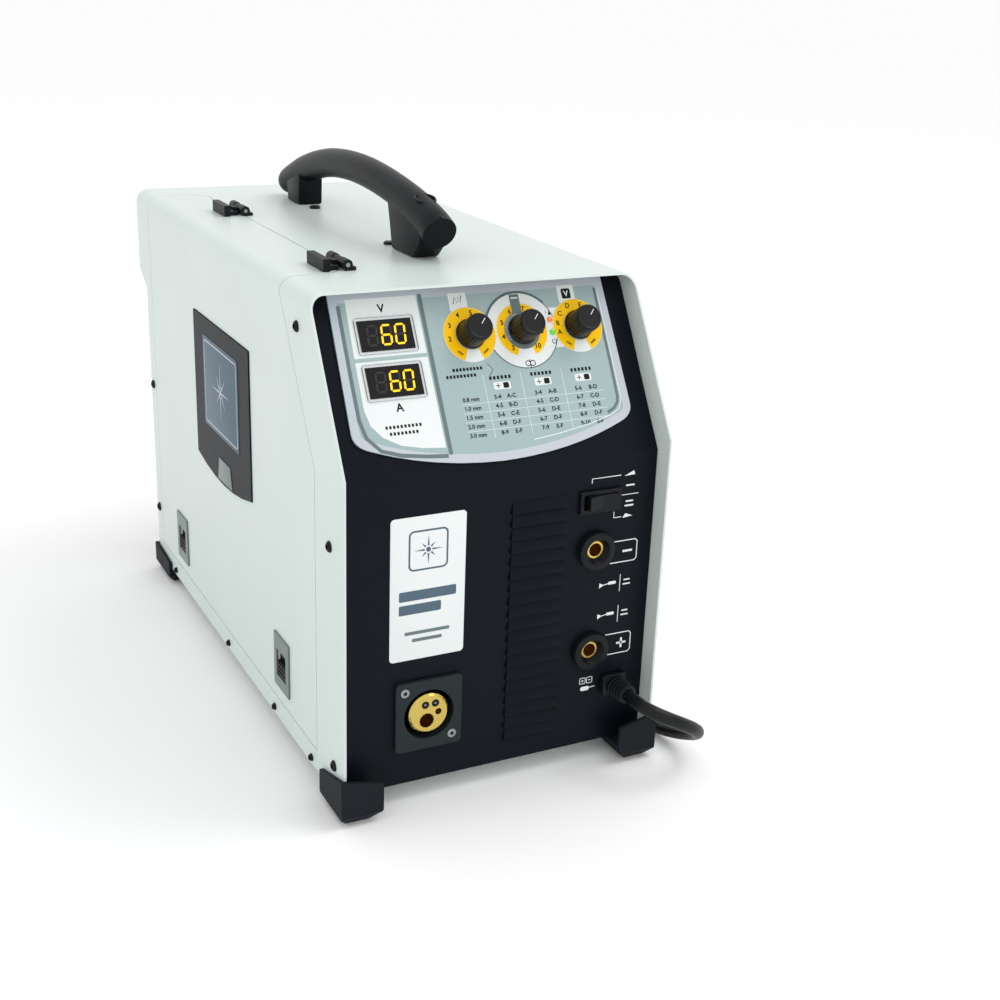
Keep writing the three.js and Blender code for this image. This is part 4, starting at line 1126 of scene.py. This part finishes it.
    @staticmethod
    def segment(letter: str, centre: Point2) -> Shape:
        """One bar of a digit, named a to g from the top round and across."""
        half_w, half_h, bar = 2.9, 5.9, 0.62
        ends: dict[str, tuple[Point2, Point2]] = {
            "a": ((-half_w, half_h), (half_w, half_h)), "b": ((half_w, half_h), (half_w, 0)),
            "c": ((half_w, 0), (half_w, -half_h)), "d": ((half_w, -half_h), (-half_w, -half_h)),
            "e": ((-half_w, -half_h), (-half_w, 0)), "f": ((-half_w, 0), (-half_w, half_h)),
            "g": ((-half_w, 0), (half_w, 0)),
        }
        (x0, y0), (x1, y1) = ends[letter]
        along = Vector((x1 - x0, y1 - y0)).normalized()
        side = Vector((-along.y, along.x))
        a, b = Vector((x0, y0)) + along * 0.35, Vector((x1, y1)) - along * 0.35
        corners = [a, a + (along + side) * bar, b + (side - along) * bar, b, b - (side + along) * bar,
                   a + (along - side) * bar]
        lens_face = 2.2
        slanted = [(centre[0] + p.x + 0.07 * p.y, centre[1] + p.y) for p in corners]
        return plate(slanted, lens_face + 0.01, lens_face + 0.08)

    def dial_print(self) -> None:
        """Prints the dials: white discs, yellow scales, figures and the signs over them."""
        face = PLATE_FACE + 0.01
        high = self.dial_height
        white = Piece("dial_fields", SLOPE, WHITE_INK)
        yellow = Piece("dial_scales", SLOPE, YELLOW_INK)
        dark = Piece("dial_legends", SLOPE, DARK_INK)
        grey = Piece("dial_grey_fields", SLOPE, GREY_INK)
        for dial in self.dials:
            at = (dial.x, high, 0)
            disc = 24.0 if dial.name == "centre" else self.ring_radius + 0.3
            step = 2 if dial.name == "centre" else 4
            top = face + (step + 1) * LIFT
            white.add(moved(ring(5, disc, face, face + step * LIFT), at))
            yellow.add(moved(sector(9.6, self.ring_radius, -158, 158, face + LIFT, top), at))
            for k in range(41):
                tick = moved(block((0.5, 1.1, 0.03), (0, self.ring_radius + 0.1, 0)), at, -150 + 7.5 * k)
                yellow.add(moved(tick, (0, 0, top)))
            for text, angle in dial.legends:
                size, spin = (1.9, angle + 180) if len(text) > 2 else (3.1, 0)
                place = at_angle(13.9, angle, (dial.x, high))
                dark.add(lettering(text, size, place, top + LIFT, spin))
        left, centre, right = (dial.x for dial in self.dials)
        at = (centre, high, 0)
        grey.add(
            moved(sector(24.0, 25.6, -75, 48, face, face + 2 * LIFT), at),
            moved(ring(24.0, 24.7, face, face + 2 * LIFT), at),
            moved(sector(7.5, 12.2, -180, 180, face, face + 4 * LIFT), at),
            tag((centre - 1, high + 17.2), (6.6, 12.5), 0.8, face, face + 4.5 * LIFT),
        )
        for k in range(19):
            white.add(moved(block((0.22, 1.9, 0.03), (0, 10.9, face + 4.2 * LIFT)), at, -120 + 6 * k))
        white.add(block((4.6, 0.9, 0.04), (centre - 1, high + 21, face + 4.7 * LIFT)))
        for x in (left - 3.5, right - 3.5):
            white.add(tag((x, high + 21.2), (12, 11.4), 0.6, face, face + 3.5 * LIFT))
        zigzag = [(-3.4, -2), (-1.8, 2.4), (-0.8, -1.6), (0.6, 2.8), (1.4, -1.8), (2.8, 3)]
        dark.add(pen_line([(left - 3.5 + a, high + 22 + b) for a, b in zigzag], 0.6, face + 4.5 * LIFT))
        dark.add(tag((right - 3.5, high + 21.4), (6.4, 6.6), 1, face, face + 4.5 * LIFT))
        white.add(lettering("V", 3.6, (right - 3.5, high + 21.2), face + 5.4 * LIFT))
        x, y = at_angle(21.5, 178, (centre, high))
        for dx in (-1.4, 1.9):
            dark.add(moved(ring(1.4, 1.9, 0, face + 4 * LIFT, 20), (x + dx, y, 0)))
        dark.add(pen_line([(x + 0.2, y - 3), (x + 0.2, y + 2.6)], 0.5, face + 4 * LIFT))
        for piece in (white, yellow, grey, dark):
            piece.fit("case", "panel_foil")

    def guide_table(self) -> None:
        """Prints a plain setting table: column heads, white rules and rows of figures."""
        face = PLATE_FACE + 0.01
        top = face + LIFT
        rules = Piece("setting_table_rules", SLOPE, WHITE_INK)
        text = Piece("setting_table_figures", SLOPE, DARK_INK)
        for k, row in enumerate(self.table):
            y = 43.5 - 5.6 * k
            if k:
                rules.add(pen_line([(-21, y + 2.8), (78, y + 2.8)], 0.25, top))
            for x, word in zip(self.columns, row.split()):
                text.add(lettering(word.replace("_", " "), 2.6, (x, y), top))
        for x in (-3.5, 22.0, 50.5):
            rules.add(pen_line([(x, 58), (x, 18.5)], 0.3, top))
        for x in (8.2, 36.5, 65.0):
            rules.add(tag((x, 50.4), (11.5, 4.8), 0.8, face, top, 2))
            text.add(
                tag((x + 2.6, 50.4), (3.8, 3.6), 0.6, face, top + LIFT, 2),
                pen_line([(x - 4.4, 50.4), (x - 1.2, 50.4)], 0.5, top + LIFT),
                pen_line([(x - 2.8, 52), (x - 2.8, 48.8)], 0.5, top + LIFT),
                *(tag((x - 7 + 2.6 * j, 55.6), (1.6, 2.2), 0.2, face, top, 1) for j in range(6)),
            )
        for j in range(9):
            for x, y in ((-22, 62.6), (-27, 58.6)):
                text.add(tag((x + 2.3 * j, y), (1.5, 2), 0.2, face, top, 1))
        text.add(pen_line([(1.0, 65), (4.2, 61), (1.0, 57)], 0.4, top))
        rules.fit("case", "panel_foil")
        text.fit("case", "panel_foil")

    def lamps(self) -> None:
        """Makes the lamp strip's white field, its signs and the two domed lamps."""
        face = PLATE_FACE + 0.01
        top = face + 2.2 * LIFT
        printed("lamp_field", SLOPE, WHITE_INK, tag((51.5, 84), (13, 26), 1.5, face, face + 1.5 * LIFT))
        printed(
            "lamp_signs", SLOPE, DARK_INK,
            pen_line([(48.4, 93.2), (48.4, 95.8)], 0.5, top),
            pen_line([(50.8, 93.2), (50.8, 95.8)], 0.9, top),
            moved(ring(0, 1.0, 0, top, 16), (50.8, 93.2, 0)),
            moved(sector(1.2, 1.7, 35, 325, face, top), (50.4, 75.2, 0)),
            pen_line([(50.4, 75.2), (50.4, 77.4)], 0.5, top),
        )
        dome = [(0, -6.5), (1.5, -6.5), (1.5, 1.6), (1.9, 1.7), (1.9, 2.0), (1.6, 2.6), (0.9, 3.0), (0, 3.1)]
        for name, finish, x, s in (("orange", ORANGE_LENS, 50.2, 89.4), ("green", GREEN_LENS, 50.3, 81)):
            lamp = Piece(f"lamp_dome_{name}", SLOPE, finish).add(moved(turned(dome, 28), (x, s, 0)))
            lamp.fit("case", f"lamp_{name}_lens", [f"lamp_{name}"])

    def knob(self, dial: Dial) -> None:
        """Makes one fluted knob with its pointer line."""
        start, facets, flute_depth = PLATE_FACE + 0.9, 72, 0.965
        skirt = [(9.3, 0), (9.6, 0.3), (9.6, 1.4), (8.9, 2.3), (8.7, 4), (8.55, 15.2), (8.2, 16), (7.4, 16.5),
                 (6.6, 16.4), (6.2, 16.1), (0, 16.1)]
        shaft = [(0, -9.7), (3, -9.7), (3, start)]
        body = turned([*shaft, *((r, start + h) for r, h in skirt)], facets)
        for vert in body.verts:
            on_flank = start + 3.5 < vert.co.z < start + 15.6 and vert.co.xy.length > 8
            if on_flank and round(math.atan2(vert.co.y, vert.co.x) / math.tau * facets) % 3 == 0:
                vert.co.xy *= flute_depth
        at = (dial.x, self.dial_height, 0)
        cap = Piece(f"knob_cap_{dial.name}", SLOPE, KNOB_ABS).add(moved(body, at, self.knob_turn))
        knob_body = f"{dial.name}_knob"
        cap.fit(knob_body, "black_nylon", [f"knob_{dial.name}"], 22)
        line = Piece(f"knob_pointer_{dial.name}", SLOPE, WHITE_INK)
        line.add(moved(block((0.45, 4.4, 0.25), (0, 4.1, start + 16.15), 0.08), at, self.knob_turn))
        line.fit(knob_body, "panel_foil")


# ---------------------------------------------------------------- handle, door and rear


@dataclass
class CarryHandle:
    """The moulded handle on the top: an arched grip on two feet."""

    path: tuple[Point2, ...] = (
        (117, 327), (130, 332.5), (165, 341), (210, 347), (255, 349.5), (300, 347.5), (335, 342),
        (365, 334.5), (388, 326.5), (402, 321),
    )
    radius: float = 10.5
    foot_half: float = 9.5

    def build(self) -> None:
        """Makes the grip, its feet, its screw well and its bolt tabs."""
        piece = Piece("carry_handle_moulding", CASE, GRIP_NYLON)
        piece.add(self.grip())
        front_foot = ((138, TOP), (127, 318), (125, 326), (130, 334), (150, 340), (182, 340), (177, 324),
                      (173, TOP))
        rear_foot = ((358, TOP), (356, 338), (374, 334), (388, 326), (384, TOP))
        piece.add(self.foot(front_foot), self.foot(rear_foot))
        piece.fit("case", "moulded_black", ["carry_handle"], 38)
        well = Piece("handle_screw_well", CASE, BLACK_NYLON)
        cup = turned([(0, -3), (5.6, -2.2), (6.2, 0.2), (7.0, 0.35), (7.5, -0.4), (7.0, -4), (0, -4)], 36)
        turn = Matrix.Translation((0, 140, 346.0)) @ Matrix.Rotation(math.radians(15), 4, "X")
        bmesh.ops.transform(cup, matrix=turn, verts=cup.verts)
        well.add(cup)
        well.fit("case", "moulded_black")
        tabs = Piece("handle_bolt_tabs", CASE, BLACK_NYLON)
        for x, y in ((-2.6, 341), (-4.5, 188)):
            head = turned([(0, 0.02), (4.2, 0.02), (4.2, 1.0), (3.4, 1.9), (0, 2.0)], 24)
            tabs.add(moved(head, (x, y, TOP)))
        tabs.fit("case", "moulded_black")

    def grip(self) -> Shape:
        """Makes the arched tube: wider at its flat front end, a blunt nose behind."""
        line = smooth_path([(0.0, y, z) for y, z in self.path], 4)
        sections = []
        for k, point in enumerate(line):
            ahead = (line[min(k + 1, len(line) - 1)] - line[max(k - 1, 0)]).normalized()
            across = Vector((1, 0, 0))
            turn = Matrix((across, ahead.cross(across), ahead)).transposed().to_4x4()
            swell = 1.0 + 0.11 * max(0.0, 1 - k / 9)
            sections.append(Matrix.Translation(point) @ turn @ Matrix.Diagonal((swell, swell, 1, 1)))
        for step, shrink in ((3.6, 0.95), (6.4, 0.8), (8.6, 0.55), (9.8, 0.22)):
            place = Matrix.Translation(line[-1] + ahead * step)
            sections.append(place @ turn @ Matrix.Diagonal((shrink, shrink, 1, 1)))
        bm = swept(sections, 28, (self.radius, self.radius))
        front = min(bm.faces, key=lambda f: f.calc_center_median().y)
        bmesh.ops.inset_region(bm, faces=[front], thickness=1.1, depth=0.5)
        bmesh.ops.inset_region(bm, faces=[front], thickness=0.5, depth=-0.9)
        return bm

    def foot(self, outline: tuple[Point2, ...]) -> Shape:
        """Makes one foot from its side outline, with rounded edges."""
        bm = bmesh.new()
        width = self.foot_half
        bm.faces.new([bm.verts.new((-width, y, z + (0.3 if z == TOP else 0))) for y, z in outline])
        raised = bmesh.ops.extrude_face_region(bm, geom=list(bm.faces), use_keep_orig=True)
        verts = [v for v in raised["geom"] if isinstance(v, bmesh.types.BMVert)]
        bmesh.ops.translate(bm, vec=(2 * width, 0, 0), verts=verts)
        bmesh.ops.recalc_face_normals(bm, faces=bm.faces)
        soften(bm, sharp_edges(bm), 1.4, 3)
        return bm


@dataclass
class SideDoor:
    """The hinged door with its badge, hinges and sliding latches."""

    badge_centre: Point2 = (236.7, 200.0)

    def build(self, frame: dict[str, Any]) -> None:
        """Dresses the door's parts and adds the badge's inlays."""
        dress(frame, MOULDED_ABS, "door_badge")
        dress(frame, LATCH_STEEL, "latch_plate_front", "latch_plate_rear")
        dress(frame, BLACK_NYLON, "latch_slider_front", "latch_slider_rear", "hinge_leaf_front",
              "hinge_leaf_rear", "hinge_base_front", "hinge_base_rear")
        dress(frame, ZINC_PLATE, "hinge_pin_front", "hinge_pin_rear")
        self.badge()

    def badge(self) -> None:
        """Makes the badge's printed field with a plain spark sign, and its grey tab."""
        y, z = self.badge_centre
        face = 1.0
        field_plate = Piece("badge_field", LEFT, BLUE_GREY_INK)
        field_plate.add(plate(rounded((-y, z), (82, 66), 1.5), face + 0.02, face + 0.3, 0.1))
        field_plate.fit("door", "panel_foil")
        frame_line = Piece("badge_frame_line", LEFT, FOIL_RIM)
        outline = pen_line(rounded((-y, z), (76, 60), 3), 0.9, face + 0.36, True)
        frame_line.add(outline, *spark((-y, z), 21, face + 0.42))
        frame_line.fit("door", "panel_foil")
        tab = Piece("badge_tab", LEFT, LATCH_STEEL)
        tab_shape = [(-249, 133.2), (-215, 134.2), (-219, 150), (-245, 150)]
        tab.add(plate(tab_shape, face + 0.02, face + 0.45, 0.15))
        tab.fit("door", "zinc_steel")


@dataclass
class Interior:
    """What stands behind the door and the panels."""

    def build(self, frame: dict[str, Any]) -> None:
        """Dresses the feeder, the spool and the power side."""
        dress(frame, EXTRUDED_ALUMINIUM, "heat_sink")
        dress(frame, ZINC_PLATE, "feed_motor", "drive_roll", "idler_roll", "pressure_arm")
        dress(frame, TURNED_BRASS, "inlet_guide")
        dress(frame, BLACK_NYLON, "feed_plate", "spool_hub", "spool_nut", "tension_screw", "fan_frame")
        dress(frame, GRIP_NYLON, "fan_rotor")
        dress(frame, SOLDER_RESIST, "inverter_board")
        dress(frame, VARNISHED_COPPER, "transformer")
        dress(frame, REEL_PLASTIC, "wire_spool")
        self.windings()

    def windings(self) -> None:
        """Lays the wound wire round the reel, between its flanges."""
        turns = Piece("wound_wire", RIGHT, WELDING_WIRE)
        near, far = -32.2 - HALF_WIDTH, -80.8 - HALF_WIDTH
        profile = [(85.1, far), (86.6, far + 0.8), (86.8, (near + far) / 2), (86.6, near - 0.8), (85.1, near)]
        turns.add(moved(turned([*profile, (85.1, far)], 96), (318, 150, 0)))
        turns.fit("spool", "copper_winding")


@dataclass
class RearFittings:
    """Mains switch, cable gland and gas inlet."""

    def build(self, frame: dict[str, Any]) -> None:
        """Dresses the rear fittings."""
        dress(frame, BLACK_NYLON, "mains_switch_frame", "mains_rocker", "mains_gland")
        dress(frame, TURNED_BRASS, "gas_inlet")


def main() -> None:
    """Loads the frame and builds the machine's looks round it."""
    logging.basicConfig(level=logging.INFO, format="%(message)s")
    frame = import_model()
    Studio().build()
    PolarityLead().build()
    Housing().build(frame)
    FrontPanel().build(frame)
    ControlFascia().build(frame)
    CarryHandle().build()
    SideDoor().build(frame)
    Interior().build(frame)
    RearFittings().build(frame)


if __name__ == "__main__":
    main()
